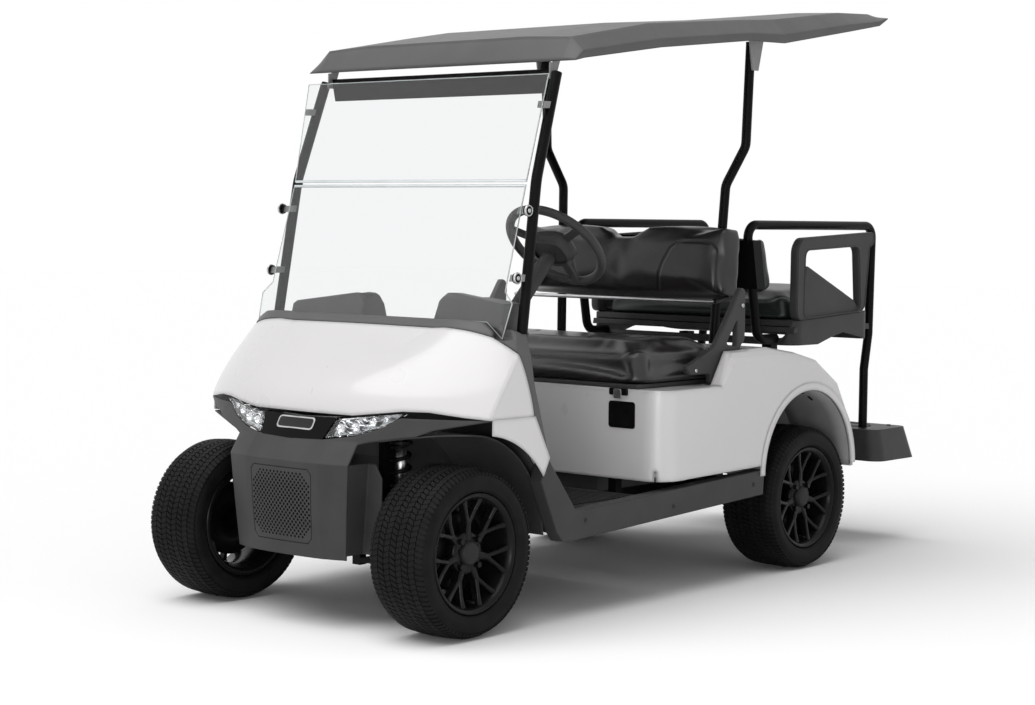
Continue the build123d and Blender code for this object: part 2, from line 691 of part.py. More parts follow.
spring_front = rear_axle_y - spring_reach
spring_back = rear_axle_y + spring_reach
with BuildPart() as leaf_springs:
    for side in (1, -1):
        with BuildSketch(Plane.YZ.offset(side * spring_x - 25)):
            with BuildLine():
                ThreePointArc((spring_front, spring_eye_z), (rear_axle_y, 284),
                    (spring_back, spring_eye_z))
                Line((spring_back, spring_eye_z), (spring_back, spring_eye_z + 10))
                ThreePointArc((spring_back, spring_eye_z + 10), (rear_axle_y, 300),
                    (spring_front, spring_eye_z + 10))
                Line((spring_front, spring_eye_z + 10), (spring_front, spring_eye_z))
            make_face()
        extrude(amount=50)
        with Locations((side * spring_x, rear_axle_y, wheel_axis_z + axle_tube_radius + 0.3)):
            Box(64, 90, 12, align=(Align.CENTER, Align.CENTER, Align.MIN))
leaf_springs.part.label = "leaf_springs"
export_step(leaf_springs.part, "parts/leaf_springs.step")

# ======================= front suspension =======================
sleeve_low_z = wheel_axis_z - sleeve_height / 2
sleeve_high_z = wheel_axis_z + sleeve_height / 2
with BuildPart() as front_arms:
    with BuildSketch(Plane.XY.offset(sleeve_low_z - 17)):
        with BuildLine():
            Polyline((212.3, front_axle_y - 110), (212.3, front_axle_y + 110),
                (kingpin_x - 10, front_axle_y + 22),
                     (kingpin_x + 22, front_axle_y + 16), (kingpin_x + 22, front_axle_y - 16),
                     (kingpin_x - 10, front_axle_y - 22), close=True)
        make_face()
    extrude(amount=16)
    with Locations((kingpin_x - 12, front_axle_y, sleeve_high_z + 1)):
        Box(66, 34, 14, align=(Align.CENTER, Align.CENTER, Align.MIN))
    with Locations((kingpin_x - 36, front_axle_y - 16, sleeve_low_z - 17)):
        Box(18, 28, sleeve_height + 32, align=(Align.CENTER, Align.CENTER, Align.MIN))
    with Locations((kingpin_x, front_axle_y, sleeve_low_z - 5)):
        Cylinder(kingpin_radius - running_fit, sleeve_height + 12,
            align=(Align.CENTER, Align.CENTER, Align.MIN))
    mirror(about=Plane.YZ)

coil_low_z = sleeve_low_z - 0.7
coil_radius = 30
with BuildPart() as coilovers:
    with Locations((coil_x, front_axle_y, coil_low_z)):
        Cylinder(16, coil_top_z - coil_low_z, align=(Align.CENTER, Align.CENTER, Align.MIN))
    with Locations((coil_x, front_axle_y, coil_low_z + 60), (coil_x, front_axle_y, coil_top_z - 10)):
        Cylinder(coil_radius + 4, 8)
    mirror(about=Plane.YZ)
with BuildPart() as front_suspension:
    add(front_arms.part)
    add(coilovers.part)
front_suspension.part.label = "front_suspension"
export_step(front_suspension.part, "parts/front_suspension.step")

steer_arm_x = 312
for name, side in (("knuckle_left", 1), ("knuckle_right", -1)):
    with BuildPart() as knuckle:
        with Locations((side * kingpin_x, front_axle_y, wheel_axis_z)):
            Cylinder(sleeve_radius, sleeve_height)
        with BuildSketch(Plane.YZ.offset(side * kingpin_x)):
            with Locations((front_axle_y, wheel_axis_z)):
                Circle(26)
        extrude(amount=side * (hub_inner_x - kingpin_x - 2))
        with BuildSketch(Plane.YZ.offset(side * kingpin_x)):
            with Locations((front_axle_y, wheel_axis_z)):
                Circle(spindle_radius)
        extrude(amount=side * (hub_inner_x - kingpin_x + 44))
        with BuildSketch(Plane.XY.offset(sleeve_high_z - 12)):
            with BuildLine():
                Polyline((side * (kingpin_x + 12), front_axle_y),
                    (side * (steer_arm_x + 12), rack_y + 10),
                         (side * (steer_arm_x - 12), rack_y + 10),
                         (side * (kingpin_x - 12), front_axle_y), close=True)
            make_face()
        extrude(amount=12)
        with Locations((side * kingpin_x, front_axle_y, wheel_axis_z)):
            Cylinder(kingpin_radius, sleeve_height + 2, mode=Mode.SUBTRACT)
    knuckle.part.label = name
    export_step(knuckle.part, "parts/" + name + ".step")

rack_half = 120
with BuildPart() as rack_housing:
    with BuildSketch(Plane.YZ.offset(-rack_half)):
        with Locations((rack_y, rack_z)):
            Circle(24)
            Circle(9, mode=Mode.SUBTRACT)
    extrude(amount=2 * rack_half)
    with Locations((0, rack_y, rail_low_z + rail_height + 5)):
        Box(2 * (rail_x + rail_width / 2), 60, 4.5, align=(Align.CENTER, Align.CENTER, Align.MAX))
        Box(2 * rack_half - 40, 30, 6, align=(Align.CENTER, Align.CENTER, Align.MIN))
rack_housing.part.label = "rack_housing"
export_step(rack_housing.part, "parts/rack_housing.step")

with BuildPart() as tie_rods:
    with BuildSketch(Plane.YZ.offset(-steer_arm_x)):
        with Locations((rack_y, rack_z)):
            Circle(9 - running_fit)
    extrude(amount=2 * steer_arm_x)
    with Locations((steer_arm_x, rack_y, rack_z), (-steer_arm_x, rack_y, rack_z)):
        Cylinder(13, 26)
        Cylinder(7, rack_z - sleeve_high_z - 0.5, align=(Align.CENTER, Align.CENTER, Align.MAX))
tie_rods.part.label = "tie_rods"
export_step(tie_rods.part, "parts/tie_rods.step")

# ======================= steering column and wheel =======================
steer_centre = (280, -493, 1099)
steer_tilt = 45.7
steer_slope = radians(90 - steer_tilt)
steer_plane = Plane(origin=steer_centre, x_dir=(1, 0, 0), z_dir=(0, sin(steer_slope), cos(steer_slope)))
steer_rim_radius = 158
steer_rim_section = 14
column_outer = 24
column_inner = 12
with BuildPart() as steering_wheel:
    with BuildSketch(Plane(origin=steer_plane.origin, x_dir=steer_plane.x_dir, z_dir=steer_plane.y_dir)):
        with Locations((steer_rim_radius, 0)):
            Circle(steer_rim_section)
    revolve(axis=Axis(steer_plane.origin, steer_plane.z_dir))
    with BuildSketch(steer_plane.offset(-34)):
        Circle(58)
    extrude(amount=34)
    with BuildSketch(steer_plane.offset(-12)):
        with PolarLocations(0, 3, start_angle=90):
            with Locations((100, 0)):
                Rectangle(110, 26)
    extrude(amount=12)
    with BuildSketch(steer_plane.offset(-300)):
        Circle(column_inner - running_fit)
    extrude(amount=270)
steering_wheel.part.label = "steering_wheel"
export_step(steering_wheel.part, "parts/steering_wheel.step")

with BuildPart() as steering_column:
    with BuildSketch(steer_plane.offset(-704)):
        Circle(column_outer)
    extrude(amount=654)
    with BuildSketch(steer_plane.offset(-301)):
        Circle(column_inner)
    extrude(amount=260, mode=Mode.SUBTRACT)
    add(side_plate([(-915, 791.8), (-885, 798.5), (-885, 700), (-915, 670)], steer_centre[0] - 18,
        steer_centre[0] + 18))
steering_column.part.label = "steering_column"
export_step(steering_column.part, "parts/steering_column.step")

# ======================= canopy struts =======================
with BuildPart() as canopy_struts:
    add(bent_tube([(512, -930, 800), (498, -850, 1295), (481, -742, 1610)], 200, strut_od, strut_wall))
    add(bent_tube([(331, 289, 766), (352, 316, 1300), (430, 317, 1430), (442, 318, 1775)], 60, strut_od,
        strut_wall))
    mirror(about=Plane.YZ)
canopy_struts.part.label = "canopy_struts"
export_step(canopy_struts.part, "parts/canopy_struts.step")

with BuildPart() as canopy_crossbar:
    add(side_plate([(-722, 1552), (-712, 1552), (-728, 1622), (-738, 1622)], -459.1, 459.1))
canopy_crossbar.part.label = "canopy_crossbar"
export_step(canopy_crossbar.part, "parts/canopy_crossbar.step")

# ======================= roof =======================
# Cross-sections along the cart: (y, z of the side lip, z of the crown).
roof_sections = [
    (-745, 1643, 1652), (-706, 1652, 1727), (-330, 1708, 1797), (150, 1762, 1843), (353, 1768, 1862),
    (755, 1836, 1914), (950, 1870, 1921), (1005, 1898, 1909),
]
roof_side_x = 505
roof_crown_x = 330


def roof_loft(sections, inset, drop):
    """Canopy form of lip, bevelled side and crowned top, shrunk by the inset, dropped below the lip."""
    with BuildPart() as form:
        for y, lip_z, top_z in sections:
            rise = top_z - lip_z
            edge = roof_half - inset
            side = roof_side_x - inset
            high = top_z - inset
            with BuildSketch(Plane.XZ.offset(-y)):
                with BuildLine():
                    Polyline(
                        (-edge, lip_z - drop), (edge, lip_z - drop),
                        (edge, lip_z + 0.3 * rise - inset / 2),
                        (side, high - 0.14 * rise), (roof_crown_x, high - 0.03 * rise),
                        (-roof_crown_x, high - 0.03 * rise),
                        (-side, high - 0.14 * rise), (-edge, lip_z + 0.3 * rise - inset / 2), close=True,
                    )
                make_face()
        loft(ruled=True)
    return form.part


roof_inner_sections = [(-738, 1644, 1654), *roof_sections[1:-1], (993, 1892, 1914)]
with BuildPart() as roof:
    add(roof_loft(roof_sections, 0, 0))
    add(roof_loft(roof_inner_sections, roof_wall, 60), mode=Mode.SUBTRACT)
roof.part.label = "roof"
export_step(roof.part, "parts/roof.step")

# ======================= windshield =======================
glass_low = (-1006, 837)
glass_mid = (-875, 1283)
glass_top = (-798, 1605)


def glass_sheet(low, high, outline):
    """Flat sheet leaning from one (y, z) station to another; outline is (x, distance up the sheet)."""
    lean = Plane(origin=(0, low[0], low[1]), x_dir=(1, 0, 0),
        z_dir=(0, low[1] - high[1], high[0] - low[0]))
    with BuildPart() as sheet:
        with BuildSketch(lean):
            with BuildLine():
                Polyline(*outline, close=True)
            make_face()
        extrude(amount=glass)
    return sheet.part


lower_glass = glass_sheet(glass_low, glass_mid, [
    (-511, 0), (-440, 47), (440, 47), (511, 0), (522, 105), (486, 140), (483, 461), (-483, 461),
    (-486, 140),
    (-522, 105),
])
upper_glass = glass_sheet(glass_mid, glass_top, [(-483, 5), (483, 5), (500, 329), (-500, 329)])
with BuildPart() as windshield:
    add(lower_glass)
    add(upper_glass)
windshield.part.label = "windshield"
export_step(windshield.part, "parts/windshield.step")

# Clamp arms from the struts to the glass and plates from the struts up to the roof.
lower_clamp = [(-957.9, 1000), (-914.2, 1000), (-911.0, 1020), (-952.0, 1020)]
middle_clamp = [(-901.1, 1194), (-882.8, 1194), (-879.6, 1214), (-895.2, 1214)]
upper_clamp = [(-822.1, 1503), (-796.4, 1503), (-789.6, 1523), (-817.3, 1523)]
rear_roof_plate = [(300, 1680), (335, 1680), (380, 1848.5), (353, 1844.8), (300, 1840.3), (270, 1837.7)]
front_roof_plate = [(-752, 1592), (-728, 1592), (-680, 1716.7), (-695, 1714), (-705.5, 1711.8),
    (-735, 1646), (-737, 1642),
                    (-752, 1640)]
with BuildPart() as canopy_brackets:
    add(side_plate(lower_clamp, 490, 512))
    add(side_plate(middle_clamp, 470, 512))
    add(side_plate(upper_clamp, 476, 500))
    add(side_plate(rear_roof_plate, 458.4, 463.4))
    add(side_plate(front_roof_plate, 459.4, 464.4))
    mirror(about=Plane.YZ)
canopy_brackets.part.label = "canopy_brackets"
export_step(canopy_brackets.part, "parts/canopy_brackets.step")

# ======================= front seat =======================
with BuildPart() as seat_board_front:
    with Locations((0, seat_front_y + 4, deck_z + seat_gap)):
        Box(2 * seat_half - 40, seat_depth - 30, seat_board, align=(Align.CENTER, Align.MIN, Align.MIN))
seat_board_front.part.label = "seat_board_front"
export_step(seat_board_front.part, "parts/seat_board_front.step")
cushion_low_z = deck_z + seat_gap + seat_board + seat_gap
with BuildPart() as seat_cushion_front:
    with BuildSketch(Plane.XY.offset(cushion_low_z)):
        with Locations((0, seat_front_y + seat_depth / 2 - 6)):
            RectangleRounded(2 * seat_half, seat_depth, 70)
    extrude(amount=seat_cushion_height)
    fillet(seat_cushion_front.faces().sort_by(Axis.Z)[-1].edges(), 24)
seat_cushion_front.part.label = "seat_cushion_front"
export_step(seat_cushion_front.part, "parts/seat_cushion_front.step")


def leaning_pad(base_y, base_z, lean, half_width, thickness, height, corner, edge):
    """Cushion standing on its lower front edge, leaning back, with a notched top edge."""
    pad_plane = Plane(origin=(0, base_y, base_z), x_dir=(1, 0, 0),
        z_dir=(0, -cos(radians(lean)), sin(radians(lean))))
    with BuildPart() as pad:
        with BuildSketch(pad_plane) as outline:
            with BuildLine():
                Polyline(
                    (-half_width, 0), (half_width, 0), (half_width - 12, height), (100, height),
                    (45, height - 42), (-45, height - 42), (-100, height), (-half_width + 12, height),
                    close=True,
                )
            make_face()
            fillet(outline.vertices(), corner)
        extrude(amount=-thickness)
        fillet(pad.faces().sort_by(Axis.Y)[0].edges(), edge)
    return pad.part


backrest = leaning_pad(183, 925, 6, backrest_half, 80, 244, 26, 18)
backrest.label = "backrest_front"
export_step(backrest, "parts/backrest_front.step")
rear_pad = 66
rear_pad_lean = degrees(atan(loop_lean))
rear_pad_clear = side_loop_od / 2 + 11


def leg_y(z):
    """Y of the centre line of a side loop's front leg at a height."""
    return loop_foot[0] - (z - loop_foot[1]) * loop_lean


rear_pad_back_y = leg_y(945) + rear_pad_clear / cos(radians(rear_pad_lean))
rear_backrest = leaning_pad(0, 0, rear_pad_lean, 410, rear_pad, 190, 26, 18).rotate(Axis.Z, 180)
rear_backrest = rear_backrest.moved(Location((0,
    rear_pad_back_y + rear_pad / cos(radians(rear_pad_lean)), 945)))
rear_backrest.label = "backrest_rear"
export_step(rear_backrest, "parts/backrest_rear.step")
shell_reach = (side_loop_od / 2 + seat_gap) / cos(radians(rear_pad_lean))


def leaning_strip(front, back, low_x, high_x):
    """Plate along the leaning front legs of the side loops, between two distances from their axis."""
    corners = [(leg_y(z) + reach, z) for z, reach in ((950, front), (1115, front), (1115, back),
        (950, back))]
    return side_plate(corners, low_x, high_x)


with BuildPart() as backrest_frame:
    add(side_plate([(277.6, 960), (282.6, 960), (285.1, 1010), (280.1, 1010)], -385, 385))
    add(side_plate([(284.3, 1090), (289.2, 1090), (291.2, 1130), (286.3, 1130)], -385, 385))
    for x in (-250, 250):
        add(side_plate([(268.6, 970), (279, 970), (281, 1000), (271.8, 1000)], x - 20, x + 20))
        add(side_plate([(282.3, 1100), (286, 1100), (287, 1120), (284.4, 1120)], x - 20, x + 20))
    # Shell behind the rear backrest: a front panel with end walls round the legs of the side loops.
    add(leaning_strip(-shell_reach - 4, -shell_reach, -406, 406))
    add(leaning_strip(-shell_reach - 4, rear_pad_clear, -406, -402))
    add(leaning_strip(-shell_reach - 4, rear_pad_clear, 402, 406))
backrest_frame.part.label = "backrest_frame"
export_step(backrest_frame.part, "parts/backrest_frame.step")

restraint_outline = [
    (-132, 716), (-116, 690), (0, 690), (0, 653.3), (150, 653.3), (160, 700), (164, 772), (190, 790),
    (190, 955),
    (166, 966), (120, 900), (20, 772),
]
restraint_hole = [(84, 782), (146, 862), (146, 770)]
with BuildPart() as hip_restraints:
    for side in (1, -1):
        low_x = 505 if side > 0 else -527
        add(side_plate(restraint_outline, low_x, low_x + 22))
        add(side_plate(restraint_hole, low_x - 5, low_x + 30), mode=Mode.SUBTRACT)
hip_restraints.part.label = "hip_restraints"
export_step(hip_restraints.part, "parts/hip_restraints.step")

# ======================= rear seat =======================
base_outline = [
    (600, 752), (620, 838), (1098, 862), (1114, 757), (1010, 775), (930, 790), (850, 775), (760, 752),
]
with BuildPart() as rear_seat_base:
    with BuildSketch(Plane.XY.offset(700)):
        with Locations((0, 857)):
            RectangleRounded(2 * rear_seat_half + 44, 514, 55)
    extrude(amount=200)
    add(side_plate(base_outline, -rear_seat_half - 22, rear_seat_half + 22), mode=Mode.INTERSECT)
    with BuildSketch(Plane.XY.offset(700)):
        with Locations((0, 857)):
            RectangleRounded(2 * rear_seat_half + 32, 502, 49)
    extrude(amount=118, mode=Mode.SUBTRACT)
    with Locations((0, 857, 805)):
        Box(2 * rear_seat_half + 36, 504, 20)
    add(side_plate(base_outline, -rear_seat_half - 22, rear_seat_half + 22), mode=Mode.INTERSECT)
rear_seat_base.part.label = "rear_seat_base"
export_step(rear_seat_base.part, "parts/rear_seat_base.step")

rear_cushion_front_y = 622
rear_cushion_depth = 462
rear_cushion_tilt = radians(2.87)
rear_cushion_plane = Plane(origin=(0, rear_cushion_front_y, 838.9), x_dir=(1, 0, 0),
                           z_dir=(0, -sin(rear_cushion_tilt), cos(rear_cushion_tilt)))
with BuildPart() as rear_cushion:
    with BuildSketch(rear_cushion_plane):
        with Locations((0, rear_cushion_depth / 2)):
            RectangleRounded(2 * (rear_seat_half - 20), rear_cushion_depth, 50)
    extrude(amount=78)
    fillet(rear_cushion.faces().sort_by(Axis.Z)[-1].edges(), 20)
rear_cushion.part.label = "rear_cushion"
export_step(rear_cushion.part, "parts/rear_cushion.step")

arm_outline = [(612, 838.3), (612, 1090), (640, 1124), (1118, 1146), (1118, 1104), (1090, 1098),
    (1060, 860.6)]
arm_window = [(660, 850), (665, 1080), (1010, 1094), (1030, 866)]
arm_filler = [(655, 845), (680, 1030), (1000, 900), (1034, 864)]
with BuildPart() as armrests:
    for low_x in (rear_seat_half - 2, -rear_seat_half - 28):
        add(side_plate(arm_outline, low_x, low_x + 30))
        add(side_plate(arm_window, low_x - 5, low_x + 40), mode=Mode.SUBTRACT)
        add(side_plate(arm_filler, low_x + 8, low_x + 22))
armrests.part.label = "armrests"
export_step(armrests.part, "parts/armrests.step")

loop_route = [
    (side_loop_x, 601.5, loop_foot[1]), (side_loop_x, *loop_foot),
    (side_loop_x, leg_y(loop_axis_z), loop_axis_z),
    (side_loop_x, 1232, loop_axis_z), (side_loop_x, 1222, 770), (side_loop_x, 1196, 640),
    (side_loop_x, 1196, footrest_top_z + seat_gap),
]
with BuildPart() as side_loops:
    add(bent_tube(loop_route, 45, side_loop_od, 2.5))
    mirror(about=Plane.YZ)
side_loops.part.label = "side_loops"
export_step(side_loops.part, "parts/side_loops.step")

# ======================= footrest =======================
with BuildPart() as footrest:
    with BuildSketch(Plane.XY.offset(310)):
        with Locations((0, 1255)):
            RectangleRounded(980, 282, 50)
    with BuildSketch(Plane.XY.offset(footrest_top_z)):
        with Locations((0, 1245)):
            RectangleRounded(930, 240, 45)
    loft()
    offset(amount=-footrest_wall, openings=footrest.faces().sort_by(Axis.Z)[0])
    with Locations((rail_x, 1130, rail_high_z - 60), (-rail_x, 1130, rail_high_z - 60)):
        Box(rail_width + 2, 100, 102, align=(Align.CENTER, Align.CENTER, Align.MIN), mode=Mode.SUBTRACT)
footrest.part.label = "footrest"
export_step(footrest.part, "parts/footrest.step")

# ======================= pedals =======================
with BuildPart() as pedals:
    for low_x in (165, 300):
        add(side_plate([(-822, 400), (-815, 404), (-872, 530), (-879, 526)], low_x, low_x + 62))
        add(side_plate([(-870, 514), (-860, 495), (-911.9, 500), (-928, 520)], low_x + 22, low_x + 40))
pedals.part.label = "pedals"
export_step(pedals.part, "parts/pedals.step")
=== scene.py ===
import json
import math
import bpy
import bmesh
from mathutils import Matrix, Vector
from mathutils.kdtree import KDTree
from mathutils.bvhtree import BVHTree


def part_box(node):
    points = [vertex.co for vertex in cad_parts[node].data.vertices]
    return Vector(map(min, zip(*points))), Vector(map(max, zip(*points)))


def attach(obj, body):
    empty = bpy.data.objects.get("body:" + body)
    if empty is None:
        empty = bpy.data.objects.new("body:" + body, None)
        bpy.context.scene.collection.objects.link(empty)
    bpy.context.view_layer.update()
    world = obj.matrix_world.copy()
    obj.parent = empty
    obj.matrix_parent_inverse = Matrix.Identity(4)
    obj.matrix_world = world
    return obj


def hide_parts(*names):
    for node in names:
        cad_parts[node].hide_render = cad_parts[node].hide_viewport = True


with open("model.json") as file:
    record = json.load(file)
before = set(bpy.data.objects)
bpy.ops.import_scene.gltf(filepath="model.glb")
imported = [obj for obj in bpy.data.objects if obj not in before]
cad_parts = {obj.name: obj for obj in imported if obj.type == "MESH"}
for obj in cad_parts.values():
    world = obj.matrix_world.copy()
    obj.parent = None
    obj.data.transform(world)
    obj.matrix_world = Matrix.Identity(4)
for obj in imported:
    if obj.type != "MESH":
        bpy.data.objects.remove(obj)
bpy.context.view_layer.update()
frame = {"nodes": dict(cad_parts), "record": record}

# Golf cart. Metres, in the CAD frame: front faces -Y, the driver's side is +X, ground is Z = 0.

# ---------------------------------------------------------------- camera
CAMERA_AT = (4.43307, -5.54516, 1.18123)
YAW, PITCH, ROLL = math.radians(40.428), math.radians(3.640), math.radians(0.627)

forward = Vector((-math.sin(YAW) * math.cos(PITCH), math.cos(YAW) * math.cos(PITCH), -math.sin(PITCH)))
level_right = Vector((math.cos(YAW), math.sin(YAW), 0))
level_up = level_right.cross(forward)
right = math.cos(ROLL) * level_right + math.sin(ROLL) * level_up
up = -math.sin(ROLL) * level_right + math.cos(ROLL) * level_up
camera_data = bpy.data.cameras.new("camera")
camera_data.lens = 73.26
camera_data.sensor_width = 36
camera = bpy.data.objects.new("camera", camera_data)
bpy.context.scene.collection.objects.link(camera)
camera.matrix_world = Matrix.Translation(CAMERA_AT) @ Matrix(
    ((right.x, up.x, -forward.x), (right.y, up.y, -forward.y), (right.z, up.z, -forward.z))
).to_4x4()
bpy.context.scene.camera = camera
bpy.context.scene.view_settings.view_transform = "Standard"


# ---------------------------------------------------------------- helpers
def link(obj):
    bpy.context.scene.collection.objects.link(obj)
    return obj


def mesh_object(name, verts, faces, smooth=True):
    mesh = bpy.data.meshes.new(name)
    mesh.from_pydata([tuple(v) for v in verts], [], faces)
    mesh.validate()
    mesh.shade_smooth() if smooth else mesh.shade_flat()
    return link(bpy.data.objects.new(name, mesh))


def modifier(obj, kind, name, **values):
    made = obj.modifiers.new(name, kind)
    for key, value in values.items():
        setattr(made, key, value)
    return made


def ride(obj, body, material):
    obj.data.materials.clear()
    obj.data.materials.append(material)
    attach(obj, body)
    return obj


# ---------------------------------------------------------------- materials
def node_material(name):
    made = bpy.data.materials.new(name)
    made.use_nodes = True
    tree = made.node_tree
    return made, tree, tree.nodes["Principled BSDF"]


def noise_node(tree, scale, detail=3.0, distortion=0.0):
    coordinates = tree.nodes.get("object coordinates")
    if coordinates is None:
        coordinates = tree.nodes.new("ShaderNodeTexCoord")
        coordinates.name = "object coordinates"
    made = tree.nodes.new("ShaderNodeTexNoise")
    made.inputs["Scale"].default_value = scale
    made.inputs["Detail"].default_value = detail
    made.inputs["Distortion"].default_value = distortion
    tree.links.new(coordinates.outputs["Object"], made.inputs["Vector"])
    return made


def surface(name, low, high, rough, tone_scale=6.0, grain=None, rough_swing=0.06, edge=None, **sockets):
    """Two-tone procedural surface: colours low to high by broad noise, a fine grain (scale, height, strength)
    and edges that shade as rounded to a radius."""
    made, tree, shader = node_material(name)
    broad = noise_node(tree, tone_scale)
    ramp = tree.nodes.new("ShaderNodeValToRGB")
    ramp.color_ramp.elements[0].position = 0.35
    ramp.color_ramp.elements[0].color = (*low, 1)
    ramp.color_ramp.elements[1].position = 0.65
    ramp.color_ramp.elements[1].color = (*high, 1)
    tree.links.new(broad.outputs["Fac"], ramp.inputs["Fac"])
    tree.links.new(ramp.outputs["Color"], shader.inputs["Base Color"])
    spread = tree.nodes.new("ShaderNodeMapRange")
    spread.inputs["To Min"].default_value = rough - rough_swing
    spread.inputs["To Max"].default_value = rough + rough_swing
    tree.links.new(noise_node(tree, tone_scale * 4).outputs["Fac"], spread.inputs["Value"])
    tree.links.new(spread.outputs["Result"], shader.inputs["Roughness"])
    if grain:
        scale, height, strength = grain
        bump = tree.nodes.new("ShaderNodeBump")
        bump.inputs["Strength"].default_value = strength
        bump.inputs["Distance"].default_value = height
        tree.links.new(noise_node(tree, scale, 4.0).outputs["Fac"], bump.inputs["Height"])
        tree.links.new(bump.outputs["Normal"], shader.inputs["Normal"])
        if edge:
            round_edge = tree.nodes.new("ShaderNodeBevel")
            round_edge.samples = 6
            round_edge.inputs["Radius"].default_value = edge
            tree.links.new(round_edge.outputs["Normal"], bump.inputs["Normal"])
    for socket, value in sockets.items():
        shader.inputs[socket.replace("_", " ")].default_value = value
    return made


M = {
    "painted_body": surface("painted_body", (0.600, 0.587, 0.594), (0.628, 0.615, 0.622), 0.28, 1.5,
                            grain=(260, 0.0002, 0.05), rough_swing=0.02, edge=0.018, Coat_Weight=0.35,
                            Coat_Roughness=0.08),
    "dark_plastic": surface("dark_plastic", (0.036, 0.035, 0.036), (0.044, 0.043, 0.044), 0.50, 9.0,
                            grain=(900, 0.0006, 0.35), edge=0.008, Specular_IOR_Level=0.22),
    "black_steel": surface("black_steel", (0.0035, 0.0035, 0.004), (0.0055, 0.0055, 0.006), 0.34, 12.0,
                           grain=(1400, 0.0003, 0.25), Specular_IOR_Level=0.07),
    "grey_steel": surface("grey_steel", (0.20, 0.20, 0.205), (0.24, 0.24, 0.245), 0.42, 10.0,
                          grain=(900, 0.0003, 0.2)),
    "rubber_mat": surface("rubber_mat", (0.010, 0.010, 0.010), (0.016, 0.016, 0.016), 0.62, 14.0,
                          grain=(700, 0.0006, 0.4), Specular_IOR_Level=0.3),
    "gloss_panel": surface("gloss_panel", (0.002, 0.002, 0.002), (0.003, 0.003, 0.003), 0.10, 5.0,
                           rough_swing=0.02, Specular_IOR_Level=0.08),
    "battery_case": surface("battery_case", (0.02, 0.02, 0.022), (0.03, 0.03, 0.032), 0.5, 8.0,
                            grain=(500, 0.0004, 0.3)),
    "vinyl": surface("vinyl", (0.011, 0.0095, 0.0095), (0.016, 0.0138, 0.0138), 0.30, 7.0,
                     grain=(520, 0.0008, 0.3), Specular_IOR_Level=0.5),
    "vinyl_rear": surface("vinyl_rear", (0.010, 0.015, 0.014), (0.015, 0.021, 0.020), 0.40, 7.0,
                          grain=(520, 0.0008, 0.35), Specular_IOR_Level=0.4),
    "tyre": surface("tyre", (0.0045, 0.0045, 0.0045), (0.008, 0.008, 0.008), 0.58, 16.0,
                    grain=(600, 0.0005, 0.35), Specular_IOR_Level=0.09),
    "black_alloy": surface("black_alloy", (0.0035, 0.0035, 0.0035), (0.006, 0.006, 0.006), 0.28, 10.0,
                           grain=(1200, 0.0002, 0.15), Specular_IOR_Level=0.13),
}


def clear_plastic(name, tint, roughness=0.02):
    made, tree, shader = node_material(name)
    shader.inputs["Base Color"].default_value = (*tint, 1)
    shader.inputs["Roughness"].default_value = roughness
    shader.inputs["IOR"].default_value = 1.45
    shader.inputs["Transmission Weight"].default_value = 1.0
    grain = noise_node(tree, 3.0)
    bump = tree.nodes.new("ShaderNodeBump")
    bump.inputs["Strength"].default_value = 0.02
    bump.inputs["Distance"].default_value = 0.001
    tree.links.new(grain.outputs["Fac"], bump.inputs["Height"])
    tree.links.new(bump.outputs["Normal"], shader.inputs["Normal"])
    return made


M["clear_plastic"] = clear_plastic("clear_plastic", (0.90, 0.91, 0.915), 0.01)
M["chrome"] = surface("chrome", (0.72, 0.73, 0.74), (0.82, 0.83, 0.84), 0.12, 20.0, rough_swing=0.03,
                      Metallic=1.0)
M["bright_steel"] = surface("bright_steel", (0.42, 0.42, 0.43), (0.5, 0.5, 0.51), 0.32, 30.0,
                            grain=(1500, 0.0002, 0.2), Metallic=1.0)
M["cap_grey"] = surface("cap_grey", (0.014, 0.014, 0.015), (0.020, 0.020, 0.021), 0.5, 12.0,
                        grain=(900, 0.0003, 0.2), Specular_IOR_Level=0.15)
M["liner_grey"] = surface("liner_grey", (0.20, 0.20, 0.205), (0.25, 0.25, 0.255), 0.6, 8.0,
                          grain=(500, 0.0006, 0.3))
# Pale opaque grey for the clear glass's edges and fold: painted highlight where light catches the edges.
M["painted_glass_edge_highlight"] = surface("painted_glass_edge_highlight", (0.62, 0.66, 0.67), (0.72, 0.75, 0.76), 0.25, 8.0, rough_swing=0.03)
# Near-black finish: the pedestal plate's own black, and painted shade in the bumper's holes and the liner's
# slots.
M["black_finish_and_painted_hole_shade"] = surface("black_finish_and_painted_hole_shade", (0.002, 0.002, 0.002), (0.004, 0.004, 0.004), 0.7, 30.0,
                           Specular_IOR_Level=0.05)
M["canopy_plastic"] = surface("canopy_plastic", (0.068, 0.066, 0.067), (0.080, 0.078, 0.079), 0.46, 7.0,
                              grain=(900, 0.0006, 0.3), edge=0.012, Specular_IOR_Level=0.4)
LIGHTER = ("roof", "dash")

node_slots = {row["node"]: row["material_slot"] for row in frame["record"]["subparts"]}
for node, obj in frame["nodes"].items():
    obj.data.materials.clear()
    obj.data.materials.append(M["canopy_plastic" if node in LIGHTER else node_slots[node]])


# ---------------------------------------------------------------- mesh helpers
MM = 0.001
SIDES = ((1, "left"), (-1, "right"))


def node_tree_of(node):
    """Ray-cast tree of a CAD node's mesh."""
    mesh = frame["nodes"][node].data
    return BVHTree.FromPolygons([v.co.copy() for v in mesh.vertices],
                                [tuple(p.vertices) for p in mesh.polygons])


def lathe(name, profile, centre, steps=96, closed=True, smooth=True):
    """Surface of revolution about an axis along X; profile is (axial, radius) in millimetres."""
    verts = []
    faces = []
    count = len(profile)
    for step in range(steps):
        angle = 2 * math.pi * step / steps
        for axial, radius in profile:
            verts.append(centre + Vector((axial, radius * math.cos(angle), radius * math.sin(angle))) * MM)
    last = count if closed else count - 1
    for step in range(steps):
        for index in range(last):
            a = step * count + index
            b = step * count + (index + 1) % count
            c = ((step + 1) % steps) * count + (index + 1) % count
            d = ((step + 1) % steps) * count + index
            faces.append((a, d, c, b))
    return mesh_object(name, verts, faces, smooth)


